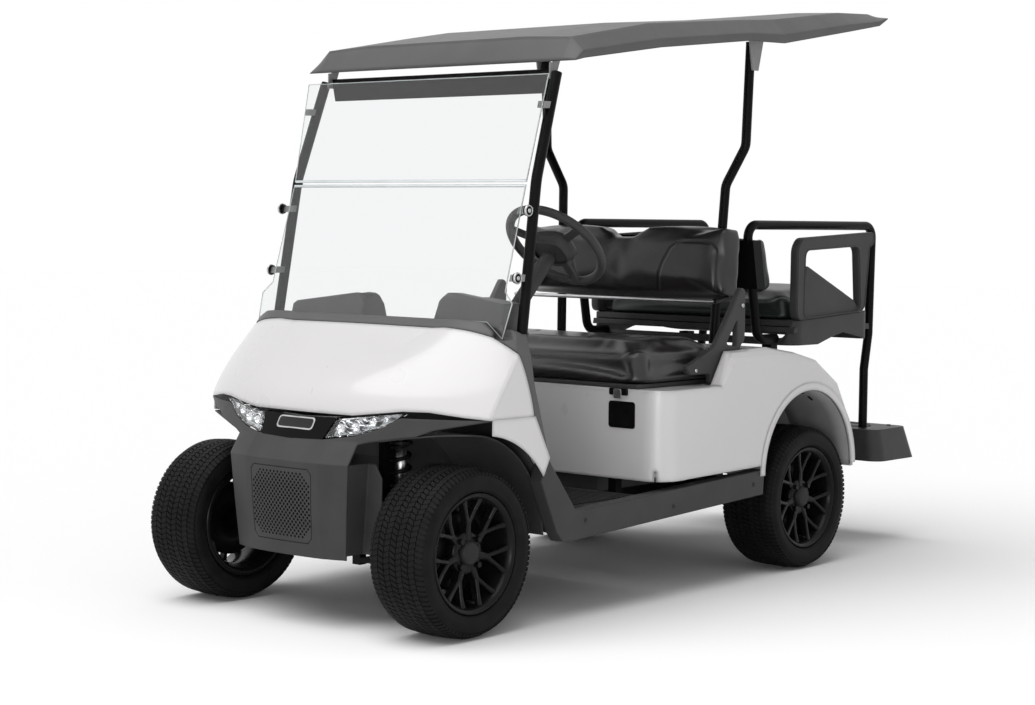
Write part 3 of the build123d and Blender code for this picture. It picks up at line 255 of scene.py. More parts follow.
def outline_block(name, outline, origin, across, along, depth, bevel=0.0, segments=2):
    """Flat block: outline (a, b) in metres along two directions, extruded by depth against their normal."""
    across = Vector(across).normalized()
    along = Vector(along).normalized()
    normal = across.cross(along)
    front = [Vector(origin) + across * a + along * b for a, b in outline]
    back = [point - normal * depth for point in front]
    count = len(outline)
    faces = [tuple(range(count)), tuple(range(2 * count - 1, count - 1, -1))]
    for index in range(count):
        after = (index + 1) % count
        faces.append((index, index + count, after + count, after))
    obj = mesh_object(name, front + back, faces, smooth=False)
    if bevel:
        modifier(obj, "BEVEL", "edges", width=bevel, segments=segments, limit_method="ANGLE",
                 harden_normals=True)
    return obj


def rounded(width, height, corner, steps=5):
    """Rounded rectangle outline about its centre."""
    points = []
    for sx, sy, start in ((1, 1, 0), (-1, 1, 90), (-1, -1, 180), (1, -1, 270)):
        for step in range(steps + 1):
            angle = math.radians(start + 90 * step / steps)
            points.append((sx * (width / 2 - corner) + corner * math.cos(angle),
                           sy * (height / 2 - corner) + corner * math.sin(angle)))
    return points


def mirrored(out, profile):
    """Lathe profile for the cart's left side (out = 1) or right side (out = -1)."""
    return [(out * axial, radius) for axial, radius in profile]


def face_outwards(obj):
    """Turns every face of a mesh to look outwards."""
    turned = bmesh.new()
    turned.from_mesh(obj.data)
    bmesh.ops.recalc_face_normals(turned, faces=turned.faces)
    turned.to_mesh(obj.data)
    turned.free()


def ring_faces(base, level, size):
    """Quads between one ring of points and the next, for rings of the same size."""
    start = base + level * size
    return [(start + step, start + (step + 1) % size, start + size + (step + 1) % size, start + size + step)
            for step in range(size)]


def rod(name, points, radius, cyclic=False, smooth_line=False):
    """Round rod or wire along points, as a curve with a bevel."""
    data = bpy.data.curves.new(name, "CURVE")
    data.dimensions = "3D"
    data.bevel_depth = radius
    data.bevel_resolution = 3
    data.use_fill_caps = True
    spline = data.splines.new("NURBS" if smooth_line else "POLY")
    spline.points.add(len(points) - 1)
    for point, place in zip(spline.points, points):
        point.co = (*place, 1)
    spline.use_cyclic_u = cyclic
    if smooth_line:
        spline.order_u = 3
        spline.use_endpoint_u = not cyclic
    return link(bpy.data.objects.new(name, data))


def bolt_head(name, place, direction, radius, height):
    """Domed round head with a hexagonal socket, standing off a face."""
    direction = Vector(direction).normalized()
    turn = direction.to_track_quat("Z", "Y").to_matrix()
    rings = ((radius, 0), (radius, height * 0.55), (radius * 0.8, height * 0.9), (radius * 0.48, height),
             (radius * 0.44, height * 0.45))
    verts = []
    sides = 18
    for ring, rise in rings:
        for step in range(sides):
            angle = 2 * math.pi * step / sides
            offset = Vector((ring * math.cos(angle), ring * math.sin(angle), rise))
            verts.append(Vector(place) + turn @ offset)
    faces = []
    for level in range(len(rings) - 1):
        faces += ring_faces(0, level, sides)
    faces.append(tuple((len(rings) - 1) * sides + step for step in range(sides)))
    faces.append(tuple(sides - 1 - step for step in range(sides)))
    obj = mesh_object(name, verts, faces, smooth=False)
    modifier(obj, "BEVEL", "edges", width=radius * 0.08, segments=1, limit_method="ANGLE")
    return obj


def meshed(obj):
    """Mesh object made from a curve object, which goes."""
    name = obj.name
    mesh = bpy.data.meshes.new_from_object(obj.evaluated_get(bpy.context.evaluated_depsgraph_get()))
    old = obj.data
    bpy.data.objects.remove(obj)
    bpy.data.curves.remove(old)
    return link(bpy.data.objects.new(name, mesh))


def joined(name, objects):
    """One mesh object out of several mesh objects."""
    built = bmesh.new()
    for obj in objects:
        built.from_mesh(obj.data)
    mesh = bpy.data.meshes.new(name)
    built.to_mesh(mesh)
    built.free()
    for obj in objects:
        old = obj.data
        bpy.data.objects.remove(obj)
        bpy.data.meshes.remove(old)
    return link(bpy.data.objects.new(name, mesh))


# ---------------------------------------------------------------- wheels
SPOKES = 7
PITCHES = 92
RIBS = ((-78, -58), (-55.4, -35.4), (-32.8, -12.8), (-10.2, 10.2), (12.8, 32.8), (35.4, 55.4), (58, 78))
TREAD_RADIUS = 243
GROOVE = 2.4
CARCASS = (
    (82.5, 172.6), (88, 173), (94.5, 176), (97.5, 179.5), (99.4, 180.6), (100.6, 183), (100.2, 186),
    (101.6, 192), (102.6, 203), (101, 213), (97.5, 222), (91.5, 230.5), (80, 235.5), (40, 237.4), (0, 237.6),
)


def tread_top(axial):
    """Radius of the tread blocks' tops at a distance from the middle, in millimetres."""
    reach = abs(axial)
    if reach < 35:
        return 243.0
    if reach < 78:
        return 243.0 - (reach - 35) * 3 / 43
    return 240.0 - (reach - 78) * 8 / 15


def tyre_mesh(corner):
    """Tyre of one corner, with slanted tread blocks in rows and shoulder lugs, and the wheel's centre."""
    low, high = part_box("tyre_" + corner)
    centre = (Vector(low) + Vector(high)) / 2
    profile = list(CARCASS) + [(-a, r) for a, r in reversed(CARCASS[:-1])] + [(-72, 160), (72, 160)]
    body = lathe("tyre_body_" + corner, profile, centre, 144)
    verts = []
    faces = []

    def place(axial, travel, radius):
        angle = travel / TREAD_RADIUS
        return centre + Vector((axial, radius * math.cos(angle), radius * math.sin(angle))) * MM

    pitch = 2 * math.pi * TREAD_RADIUS / PITCHES
    for number, (low_u, high_u) in enumerate(RIBS):
        slant = 8.5 if number % 2 else -8.5
        for block in range(PITCHES):
            start = (block + 0.5 * (number % 2)) * pitch
            length = pitch - GROOVE
            corners = ((low_u - 1.6, start), (high_u - 1.6, start + slant),
                       (high_u + 1.6, start + slant + length), (low_u + 1.6, start + length))
            middle_u = sum(c[0] for c in corners) / 4
            middle_t = sum(c[1] for c in corners) / 4
            base = len(verts)
            for axial, travel in corners:
                verts.append(place(axial, travel, tread_top(axial) - 7))
            for axial, travel in corners:
                verts.append(place(axial, travel, tread_top(axial) - 0.9))
            for axial, travel in corners:
                inner = axial + (middle_u - axial) * 0.05
                back = travel + (middle_t - travel) * 0.1
                verts.append(place(inner, back, tread_top(axial)))
            for index in range(4):
                after = (index + 1) % 4
                for level in (0, 4):
                    faces.append((base + level + index, base + level + after, base + level + 4 + after,
                                  base + level + 4 + index))
            faces.append((base + 8, base + 9, base + 10, base + 11))
    for side in (1, -1):
        for block in range(PITCHES):
            start = block * pitch
            base = len(verts)
            for reach in (80.5, 91, 98.5):
                drift = (reach - 80.5) * 0.25 * side
                for travel in (start + drift, start + drift + pitch * 0.68):
                    verts.append(place(side * reach, travel, tread_top(reach) - 6))
                    verts.append(place(side * reach, travel, tread_top(reach) - 0.4))
            for row in (0, 4):
                a = base + row
                faces.append((a + 1, a + 3, a + 7, a + 5))
                faces.append((a, a + 1, a + 5, a + 4))
                faces.append((a + 2, a + 6, a + 7, a + 3))
            faces.append((base, base + 2, base + 3, base + 1))
            faces.append((base + 8, base + 9, base + 11, base + 10))
    blocks = mesh_object("tread_blocks_" + corner, verts, faces, smooth=False)
    tyre = joined("tyre_tread_" + corner, [body, blocks])
    face_outwards(tyre)
    return tyre, centre


def alloy_wheel(corner, centre, out):
    """Black seven-spoke wheel: barrel, hub and forked spokes, in millimetres about the wheel's centre."""
    barrel = ((-93, 172), (-93, 151), (-75, 147), (-50, 136), (2, 136), (40, 147), (72, 151), (84, 156),
              (90, 161), (93, 166), (93, 171.5), (88, 171.8), (84, 166), (80, 158), (66, 156), (38, 152),
              (0, 141), (-48, 141), (-72, 151.5), (-88, 155), (-88, 172))
    parts = [lathe("barrel", mirrored(out, barrel), centre, 112)]
    hub = ((18, 20), (18, 60), (56, 62), (62, 58), (64, 50), (64, 20))
    parts.append(lathe("hub", mirrored(out, hub), centre, 64))

    def spot(radius, angle, axial):
        return Vector((out * axial, radius * math.cos(angle), radius * math.sin(angle)))

    verts = []
    faces = []

    def bar(start, end, wide_start, wide_end, deep):
        section = ((-0.5, deep), (-0.5, 3.0), (-0.30, 0.4), (0, 0), (0.30, 0.4), (0.5, 3.0), (0.5, deep))
        run = (end - start).normalized()
        face = Vector((out, 0, 0))
        face = (face - run * face.dot(run)).normalized()
        across = run.cross(face)
        base = len(verts)
        for place, wide in ((start, wide_start), (end, wide_end)):
            for side, drop in section:
                verts.append(centre + (place + across * side * wide - face * drop) * MM)
        count = len(section)
        faces.extend(ring_faces(base, 0, count))
        faces.append(tuple(base + index for index in range(count - 1, -1, -1)))
        faces.append(tuple(base + count + index for index in range(count)))

    for number in range(SPOKES):
        middle = math.radians(90 + 360 * number / SPOKES)
        fork = spot(88, middle, 68)
        bar(spot(22, middle, 66), fork, 27, 17, 30)
        for lean in (1, -1):
            tip = middle + lean * math.radians(12.6)
            elbow = spot(122, middle + lean * math.radians(8.6), 74)
            bar(spot(80, middle, 67), elbow, 13, 12, 24)
            bar(elbow, spot(154, tip, 82), 12, 17, 22)
    parts.append(mesh_object("spokes", verts, faces, smooth=False))
    wheel = joined("alloy_wheel_" + corner, parts)
    face_outwards(wheel)
    return wheel


CAP_PROFILE = ((60, 36), (70, 35), (75, 32.5), (78.5, 29), (79.5, 26), (79, 0.4))
DRUM_PROFILE = ((-19, 20), (-19, 108), (-14, 112), (22, 112), (26, 106), (30, 70), (30, 20))
VALVE_PROFILE = ((58, 0.3), (58, 4.5), (80, 4), (86, 3.6), (86, 0.3))
NUT_RADIUS = 0.0095
HEXAGON = [(NUT_RADIUS * math.cos(math.radians(60 * k)), NUT_RADIUS * math.sin(math.radians(60 * k)))
           for k in range(6)]
NUT_HEIGHT = 0.013
for corner in ("fl", "fr", "rl", "rr"):
    body = "wheel_" + corner
    tyre, centre = tyre_mesh(corner)
    ride(tyre, body, M["tyre"])
    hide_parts("tyre_" + corner)
    out = 1 if centre.x > 0 else -1
    wheel = alloy_wheel(corner, centre, out)
    ride(wheel, body, M["black_alloy"])
    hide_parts("rim_" + corner)
    nuts = []
    for quarter in range(4):
        angle = math.radians(45 + 90 * quarter)
        nut_at = centre + Vector((out * 63, 50.8 * math.cos(angle), 50.8 * math.sin(angle))) * MM
        nut_face = nut_at + Vector((out * NUT_HEIGHT, 0, 0))
        nuts.append(outline_block("nut", HEXAGON, nut_face, (0, out, 0), (0, 0, 1), NUT_HEIGHT))
    lug_nuts = joined("lug_nuts_" + corner, nuts)
    modifier(lug_nuts, "BEVEL", "edges", width=0.0012, segments=2, limit_method="ANGLE")
    ride(lug_nuts, body, M["black_alloy"])
    cap = lathe("centre_cap_" + corner, mirrored(out, CAP_PROFILE), centre, 48, closed=False)
    ride(cap, body, M["cap_grey"])
    drum = lathe("brake_drum_" + corner, mirrored(out, DRUM_PROFILE), centre, 72)
    ride(drum, body, M["black_steel"])
    valve = lathe("valve_stem_" + corner, mirrored(out, VALVE_PROFILE), centre + Vector((0, 0, -0.138)), 14,
                  closed=False)
    ride(valve, body, M["tyre"])


# ---------------------------------------------------------------- cushions
def seam_groove(obj, path, side, width, depth, closed=False):
    """Presses a sewn line into a pad: path points and the direction the stitched face looks."""
    side = Vector(side).normalized()

    def flat(point):
        return point - side * point.dot(side)

    samples = [flat(path[0] if closed else path[-1])]
    for start, end in zip(path, path[1:] + path[:1] if closed else path[1:]):
        count = max(1, int((end - start).length / 0.001))
        samples += [flat(start.lerp(end, step / count)) for step in range(count)]
    line = KDTree(len(samples))
    for index, sample in enumerate(samples):
        line.insert(sample, index)
    line.balance()
    for vertex in obj.data.vertices:
        if vertex.normal.dot(side) < 0.3:
            continue
        reach = line.find(flat(vertex.co))[2]
        if reach < 4 * width:
            vertex.co -= side * depth * math.exp(-((reach / width) ** 2))


def soft_pad(node, body, material, rest_side, cap, shrink, seams):
    """Stuffed pad grown from a CAD cushion; rest_side is the direction of the face that lies on its board."""
    source = frame["nodes"][node]
    low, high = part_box(node)
    centre = (Vector(low) + Vector(high)) / 2
    mesh = source.data.copy()
    mesh.name = node + "_pad"
    pad = link(bpy.data.objects.new(node + "_pad", mesh))
    rest_side = Vector(rest_side).normalized()
    for vertex in mesh.vertices:
        offset = vertex.co - centre
        lift = offset.dot(rest_side)
        vertex.co = centre + (offset - rest_side * lift) * (1 - shrink) + rest_side * lift
    modifier(pad, "REMESH", "skin", mode="VOXEL", voxel_size=0.009)
    bake(pad)
    seat = max(v.co.dot(rest_side) for v in pad.data.vertices)
    held = pad.vertex_groups.new(name="held")
    for vertex in pad.data.vertices:
        if vertex.co.dot(rest_side) > seat - 0.012:
            held.add([vertex.index], 1.0, "ADD")
    before = [v.co.copy() for v in pad.data.vertices]
    cloth = modifier(pad, "CLOTH", "stuffing")
    cloth.settings.quality = 5
    cloth.settings.mass = 0.25
    cloth.settings.tension_stiffness = 18
    cloth.settings.compression_stiffness = 18
    cloth.settings.shear_stiffness = 8
    cloth.settings.bending_stiffness = 8
    cloth.settings.shrink_min = 0.015
    cloth.settings.use_pressure = True
    cloth.settings.uniform_pressure_force = 4.0
    cloth.settings.vertex_group_mass = "held"
    cloth.settings.effector_weights.gravity = 0
    cloth.collision_settings.use_collision = False
    cloth.point_cache.frame_start = 1
    cloth.point_cache.frame_end = 20
    for step in range(1, 21):
        bpy.context.scene.frame_set(step)
    bake(pad)
    bpy.context.scene.frame_set(1)
    for vertex, start in zip(pad.data.vertices, before):
        move = vertex.co - start
        if move.length > cap:
            vertex.co = start + move.normalized() * cap
    pad.vertex_groups.clear()
    modifier(pad, "SMOOTH", "soften", factor=0.5, iterations=14)
    modifier(pad, "SUBSURF", "fine", levels=1, render_levels=1)
    bake(pad)
    for path, side, width, depth, closed in seams:
        seam_groove(pad, path, side, width, depth, closed)
    pad.data.shade_smooth()
    ride(pad, body, material)
    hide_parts(node)
    return pad


def bake(obj):
    """Applies an object's modifiers to its mesh."""
    graph = bpy.context.evaluated_depsgraph_get()
    made = bpy.data.meshes.new_from_object(obj.evaluated_get(graph))
    old = obj.data
    obj.modifiers.clear()
    obj.data = made
    bpy.data.meshes.remove(old)


def lay_on(tree, points, side, lift=0.0):
    """Points moved onto a surface by casting against the direction it faces."""
    side = Vector(side).normalized()
    laid = []
    for point in points:
        hit = tree.ray_cast(point + side * 0.4, -side)[0]
        if hit is not None:
            laid.append(hit + side * lift)
    return laid


def oval(centre, wide, deep, steps=48):
    """Points round a level oval."""
    x, y, z = centre
    turns = [2 * math.pi * step / steps for step in range(steps)]
    return [Vector((x + wide * math.cos(a), y + deep * math.sin(a), z)) for a in turns]


def box_path(low, high, z, inset, corner, steps=5):
    """Rounded rectangle in plan, inside a box."""
    width = high[0] - low[0] - 2 * inset
    depth = high[1] - low[1] - 2 * inset
    middle = ((low[0] + high[0]) / 2, (low[1] + high[1]) / 2)
    return [Vector((middle[0] + a, middle[1] + b, z)) for a, b in rounded(width, depth, corner, steps)]


seat_low, seat_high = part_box("seat_cushion_front")
seat_seams = [(box_path(seat_low, seat_high, seat_high[2], 0.030, 0.075), (0, 0, 1), 0.004, 0.003, True)]
for x in (-0.235, 0.235):
    seat_seams.append((oval((x, -0.10, seat_high[2]), 0.085, 0.115), (0, 0, 1), 0.004, 0.004, True))
soft_pad("seat_cushion_front", "front_seat", M["vinyl"], (0, 0, -1), 0.026, 0.012, seat_seams)

ARCH = ((0.165, 0.962), (0.193, 1.044), (0.222, 1.096), (0.245, 1.113), (0.272, 1.120), (0.355, 1.120),
        (0.382, 1.113), (0.398, 1.095), (0.405, 0.962))
REAR_ARCH = ((0.11, 0.965), (0.15, 1.06), (0.18, 1.085), (0.30, 1.085), (0.335, 1.06), (0.345, 0.965))
arches = []
for out in (1, -1):
    arches.append(([Vector((out * x, 0.1, z)) for x, z in ARCH], (0, -1, 0.1), 0.0035, 0.0045, False))
soft_pad("backrest_front", "chassis", M["vinyl"], (0, 1, -0.105), 0.018, 0.008, arches)

rear_low, rear_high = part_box("rear_cushion")
soft_pad("rear_cushion", "rear_seat", M["vinyl_rear"], (0, 0.05, -1), 0.020, 0.010,
         [(box_path(rear_low, rear_high, rear_high[2], 0.030, 0.055), (0, 0, 1), 0.004, 0.003, True)])
back_arches = []
for out in (1, -1):
    route = [Vector((out * x, 0.6, z)) for x, z in REAR_ARCH]
    back_arches.append((route, (0, 1, 0.19), 0.0035, 0.004, False))
soft_pad("backrest_rear", "chassis", M["vinyl_rear"], (0, -1, -0.19), 0.018, 0.008, back_arches)

# ---------------------------------------------------------------- headlamps
lamp_tree = node_tree_of("headlamps")


def lamp_surface(name, inset, depth, columns, facet):
    """Sheet behind the lamp's front: inset from its upper and lower edge, depth behind its surface."""
    sheets = []
    for out in (1, -1):
        verts = []
        faces = []
        rows = 7
        for column in range(columns + 1):
            share = column / columns
            x = 0.1345 + (0.363 - 0.1345) * share
            lower = 0.5495 + (0.0130 * min(1, (x - 0.1325) / 0.0975)) if x < 0.230 else (
                0.5625 + 0.028 * (x - 0.230) / 0.079 if x < 0.309 else 0.5905 + 0.038 * (x - 0.309) / 0.057)
            upper = (0.5495 + 0.0565 * (x - 0.1325) / 0.0215 if x < 0.154 else
                     0.606 + 0.002 * (x - 0.154) / 0.031 if x < 0.185 else
                     0.608 + 0.0205 * (x - 0.185) / 0.172)
            upper = max(upper, lower + 0.0015)
            for row in range(rows + 1):
                z = lower + inset + (upper - lower - 2 * inset) * row / rows
                hit = lamp_tree.ray_cast(Vector((out * x, -2.0, z)), Vector((0, 1, 0)))[0]
                y = hit.y if hit is not None else (verts[-1].y - depth if verts else -1.33)
                wave = facet * (0.5 if (column + row) % 2 else -0.5)
                verts.append(Vector((out * x, y + depth + wave, z)))
        for column in range(columns):
            for row in range(rows):
                a = column * (rows + 1) + row
                quad = (a, a + rows + 1, a + rows + 2, a + 1)
                faces.append(quad if out > 0 else quad[::-1])
        sheets.append(mesh_object(name + str(out), verts, faces, smooth=False))
    return joined(name, sheets)


lens = lamp_surface("lamp_lens", 0.0004, 0.0006, 40, 0.0)
lens.data.shade_smooth()
modifier(lens, "SOLIDIFY", "wall", thickness=0.0025, offset=-1)
ride(lens, "chassis", M["clear_plastic"])
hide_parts("headlamps")
reflector = lamp_surface("lamp_reflector", 0.001, 0.019, 9, 0.010)
modifier(reflector, "SOLIDIFY", "wall", thickness=0.0015, offset=-1)
ride(reflector, "chassis", M["chrome"])
BOWLS = ((0.176, 0.583, 0.0165), (0.222, 0.588, 0.0165), (0.272, 0.600, 0.013), (0.310, 0.610, 0.009))
BOWL_PROFILE = ((-4, 0.9), (-5.5, 1), (-7, 0.96), (-12, 0.62), (-15, 0.2))
for out, hand in SIDES:
    for number, (x, z, size) in enumerate(BOWLS):
        hit = lamp_tree.ray_cast(Vector((out * x, -2.0, z)), Vector((0, 1, 0)))[0]
        place = Vector((out * x, hit.y, z))
        aim = Matrix.Rotation(math.radians(90), 3, "Z")
        profile = [(axial, size * share / MM) for axial, share in BOWL_PROFILE] + [(-15, 0.2)]
        bulb = lathe("lamp_bowl_%s_%d" % (hand, number), profile, Vector((0, 0, 0)), 24, closed=False)
        for vertex in bulb.data.vertices:
            vertex.co = place + aim @ Vector((-vertex.co.x, vertex.co.y, vertex.co.z))
            vertex.co.y = place.y + abs(vertex.co.y - place.y)
        modifier(bulb, "SOLIDIFY", "wall", thickness=0.001)
        ride(bulb, "chassis", M["chrome"])

# ---------------------------------------------------------------- plain badge plate on the lamp panel
panel_tree = node_tree_of("lamp_panel")
badge_low = panel_tree.ray_cast(Vector((0, -2.0, 0.568)), Vector((0, 1, 0)))[0]
badge_high = panel_tree.ray_cast(Vector((0, -2.0, 0.602)), Vector((0, 1, 0)))[0]
badge_middle = (badge_low + badge_high) / 2
badge_up = (badge_high - badge_low).normalized()
badge_out = Vector((1, 0, 0)).cross(badge_up)
for name, wide, tall, stand, material in (("badge_frame", 0.150, 0.040, 0.0, "bright_steel"),
                                          ("badge_face", 0.139, 0.030, 0.0012, "cap_grey")):
    plate = outline_block(name, rounded(wide, tall, tall * 0.3), badge_middle + badge_out * stand, (1, 0, 0),
                          badge_up, 0.006, bevel=0.0008)
    ride(plate, "chassis", M[material])

# ---------------------------------------------------------------- bumper perforations, drawn as black dots: painted shade in the holes
bumper_tree = node_tree_of("bumper_fascia")
DOT_SIDES = 10
dot_verts = []
dot_faces = []
for row in range(23):
    for column in range(16):
        x = (column - 7.5) * 0.0152 + (0.0076 if row % 2 else 0)
        z = 0.263 + row * 0.0083
        reach = 0.112 - 0.00004 * row
        rim_z = abs(z - 0.354) / 0.098
        if abs(x) > reach * (1.12 - 0.34 * rim_z ** 3) or rim_z > 1:
            continue
        hit, normal = bumper_tree.ray_cast(Vector((x, -2.0, z)), Vector((0, 1, 0)))[:2]
        if hit is None:
            continue
        turn = normal.to_track_quat("Z", "Y").to_matrix()
        size = 0.0040 * (1.0 - 0.35 * max(0.0, rim_z - 0.55) - 0.25 * max(0.0, abs(x) / reach - 0.6))
        base = len(dot_verts)
        for ring, rise in ((size * 1.12, -0.0002), (size, 0.0003), (size * 0.9, 0.00012)):
            for step in range(DOT_SIDES):
                angle = 2 * math.pi * step / DOT_SIDES
                dot_verts.append(hit + turn @ Vector((ring * math.cos(angle), ring * math.sin(angle), rise)))
        dot_faces += ring_faces(base, 0, DOT_SIDES) + ring_faces(base, 1, DOT_SIDES)
        dot_faces.append(tuple(base + 2 * DOT_SIDES + step for step in range(DOT_SIDES)))
dots = mesh_object("bumper_painted_hole_shade_dots", dot_verts, dot_faces)
ride(dots, "chassis", M["black_finish_and_painted_hole_shade"])

# ---------------------------------------------------------------- front suspension springs
COIL_X, COIL_Y, COIL_RADIUS = 0.268, -1.169, 0.027
for out, hand in SIDES:
    coil = []
    for step in range(7 * 16 + 1):
        angle = 2 * math.pi * step / 16
        coil.append(Vector((out * COIL_X + COIL_RADIUS * math.cos(angle),
                            COIL_Y + COIL_RADIUS * math.sin(angle), 0.276 + 0.255 * step / 112)))
    spring = rod("coil_spring_" + hand, coil, 0.0058)
    ride(spring, "chassis", M["black_steel"])
    sleeve = lathe("damper_rod_" + hand, [(400, 17.0), (530, 17.0), (530, 16.2), (400, 16.2)],
                   Vector((0, 0, 0)), 32)
    for vertex in sleeve.data.vertices:
        vertex.co = Vector((out * COIL_X + vertex.co.y, COIL_Y + vertex.co.z, vertex.co.x))
    ride(sleeve, "chassis", M["bright_steel"])

# ---------------------------------------------------------------- windshield fittings
KNOB_PROFILE = ((507, 15), (514, 15.5), (518, 13.5), (518.5, 8), (517, 0.3))
HALO_PROFILE = ((512, 16.3), (515, 17.4), (518, 16.6), (519.4, 14.6), (518.2, 12.8), (514, 13.2))
EYE_PROFILE = ((515, 6.5), (520, 6), (521, 4.5), (519.5, 3.6), (519.5, 0.3))
for out, hand in SIDES:
    for number, (x, y, z) in enumerate(((0.503, -0.904, 1.204), (0.502, -0.950, 1.010))):
        axis_at = Vector((0, y, z))
        knob = lathe("knob_%s_%d" % (hand, number), mirrored(out, KNOB_PROFILE), axis_at, 32, closed=False)
        ride(knob, "chassis", M["black_steel"])
        halo = lathe("knob_ring_%s_%d" % (hand, number), mirrored(out, HALO_PROFILE), axis_at, 40)
        ride(halo, "chassis", M["bright_steel"])
        eye = lathe("knob_screw_%s_%d" % (hand, number), mirrored(out, EYE_PROFILE), axis_at, 24,
                    closed=False)
        ride(eye, "chassis", M["bright_steel"])

# Two pale rods along the windshield's fold: painted highlight on the clear glass edges there.
for number, z in enumerate((1.2755, 1.2905)):
    y = -0.875 + (z - 1.283) * 0.25
    bar = rod("hinge_bar_%d" % number, [Vector((x, y - 0.002, z)) for x in (-0.481, 0.481)], 0.0042)
    ride(bar, "chassis", M["painted_glass_edge_highlight"])


def up_glass(foot, top, distance):
    """Place at a distance up a glass sheet whose lower and upper edges are (y, z)."""
    run = math.hypot(top[0] - foot[0], top[1] - foot[1])
    return (foot[0] + (top[0] - foot[0]) * distance / run, foot[1] + (top[1] - foot[1]) * distance / run)


LOWER = ((-1.006, 0.837), (-0.875, 1.283))
UPPER = ((-0.875, 1.283), (-0.798, 1.605))
for name, (foot, top), outline in (
    ("lower_glass", LOWER, ((-0.510, 0.001), (-0.440, 0.0475), (0.440, 0.0475), (0.510, 0.001),
                            (0.5205, 0.105), (0.4855, 0.140), (0.482, 0.4605), (-0.482, 0.4605),
                            (-0.4855, 0.140), (-0.5205, 0.105))),
    ("upper_glass", UPPER, ((-0.482, 0.006), (0.482, 0.006), (0.499, 0.328), (-0.499, 0.328))),
):
    points = []
    for x, distance in outline:
        y, z = up_glass(foot, top, distance)
        points.append(Vector((x, y - 0.0022, z)))
    # Pale rod round each sheet's edge: painted highlight along the glass edge.
    edge = rod(name + "_edge", points, 0.0016, cyclic=True)
    ride(edge, "chassis", M["painted_glass_edge_highlight"])

# ---------------------------------------------------------------- steering wheel cover and column
steer_at = Vector((0.280, -0.493, 1.099))
steer_normal = Vector((0, 0.69842, 0.71569))
steer_across = Vector((1, 0, 0))
steer_up = steer_normal.cross(steer_across)


def steer_point(a, b, c):
    return steer_at + steer_across * a + steer_up * b + steer_normal * c


POD_SIDES = 32
pod_rings = ((0.062, 0.045, -0.040), (0.074, 0.056, -0.022), (0.076, 0.060, -0.004), (0.070, 0.054, 0.006),
             (0.050, 0.038, 0.011), (0.018, 0.014, 0.012))
pod_verts = []
pod_faces = []
for wide, tall, rise in pod_rings:
    for step in range(POD_SIDES):
        angle = 2 * math.pi * step / POD_SIDES
        square = 1 / max(abs(math.cos(angle)) ** 3 + abs(math.sin(angle)) ** 3, 0.01) ** (1 / 3)
        pod_verts.append(steer_point(wide * square * math.cos(angle), tall * square * math.sin(angle) - 0.006,
                                     rise))
for level in range(len(pod_rings) - 1):
    pod_faces += ring_faces(0, level, POD_SIDES)
pod_faces.append(tuple((len(pod_rings) - 1) * POD_SIDES + step for step in range(POD_SIDES)))
pod = mesh_object("steering_pod", pod_verts, pod_faces)
ride(pod, "steering", M["dark_plastic"])

shroud = [steer_point(0, 0, -0.055), steer_point(0, 0, -0.20)]
collar = rod("column_shroud", shroud, 0.0245)
ride(collar, "chassis", M["dark_plastic"])

# ---------------------------------------------------------------- seat pedestal fittings, sill plugs and hem
for name, size, place, thick, bevel, slot, material in (
    ("pedestal_plate", (0.104, 0.084, 0.010), (0.4165, -0.3245, 0.571), 0.0026, 0.0008, "gloss_panel",
     "black_finish_and_painted_hole_shade"),
    ("seat_latch", (0.070, 0.022, 0.004), (0.405, -0.331, 0.643), 0.010, 0.002, "black_steel", "black_steel"),
    ("seat_latch_tongue", (0.030, 0.030, 0.005), (0.405, -0.3335, 0.637), 0.004, 0.001, "black_steel",
     "bright_steel"),
):
    plate = outline_block(name, rounded(*size), place, (1, 0, 0), (0, 0, 1), thick, bevel=bevel)
    ride(plate, "chassis", M[material])
for out, hand in SIDES:
    for number, y in enumerate((-0.70, -0.26, 0.18)):
        plug_at = (out * 0.5778, y, 0.292 if y < 0 else 0.32)
        plug = bolt_head("sill_plug_%s_%d" % (hand, number), plug_at, (out, 0, 0), 0.0085, 0.002)
        ride(plug, "chassis", M["dark_plastic"])

HEM_RADIUS = 0.0775
for out, hand in SIDES:
    turn = [(0.490, -0.3195)]
    for angle in (math.radians(9 * k) for k in range(11)):
        turn.append((0.502 + HEM_RADIUS * math.sin(angle), -0.242 - HEM_RADIUS * math.cos(angle)))
    turn.append((0.5795, -0.200))
    verts = [Vector((out * x, y, z)) for x, y in turn for z in (0.3685, 0.402)]
    faces = [(2 * k, 2 * k + 2, 2 * k + 3, 2 * k + 1) for k in range(len(turn) - 1)]
    hem = mesh_object("pedestal_hem_" + hand, verts, [f if out > 0 else f[::-1] for f in faces])
    modifier(hem, "SOLIDIFY", "wall", thickness=0.0012, offset=0)
    ride(hem, "chassis", M["painted_body"])

# ---------------------------------------------------------------- moulded armrests and seat restraints
def softened(points, radius, steps=5):
    """Closed outline with its corners rounded, in millimetres."""
    made = []
    for index, corner in enumerate(points):
        corner = Vector(corner)
        before = Vector(points[index - 1]) - corner
        after = Vector(points[(index + 1) % len(points)]) - corner
        reach = min(radius, 0.45 * before.length, 0.45 * after.length)
        start = corner + before.normalized() * reach
        end = corner + after.normalized() * reach
        for step in range(steps + 1):
            share = step / steps
            made.append(start * (1 - share) ** 2 + corner * 2 * share * (1 - share) + end * share ** 2)
    return made


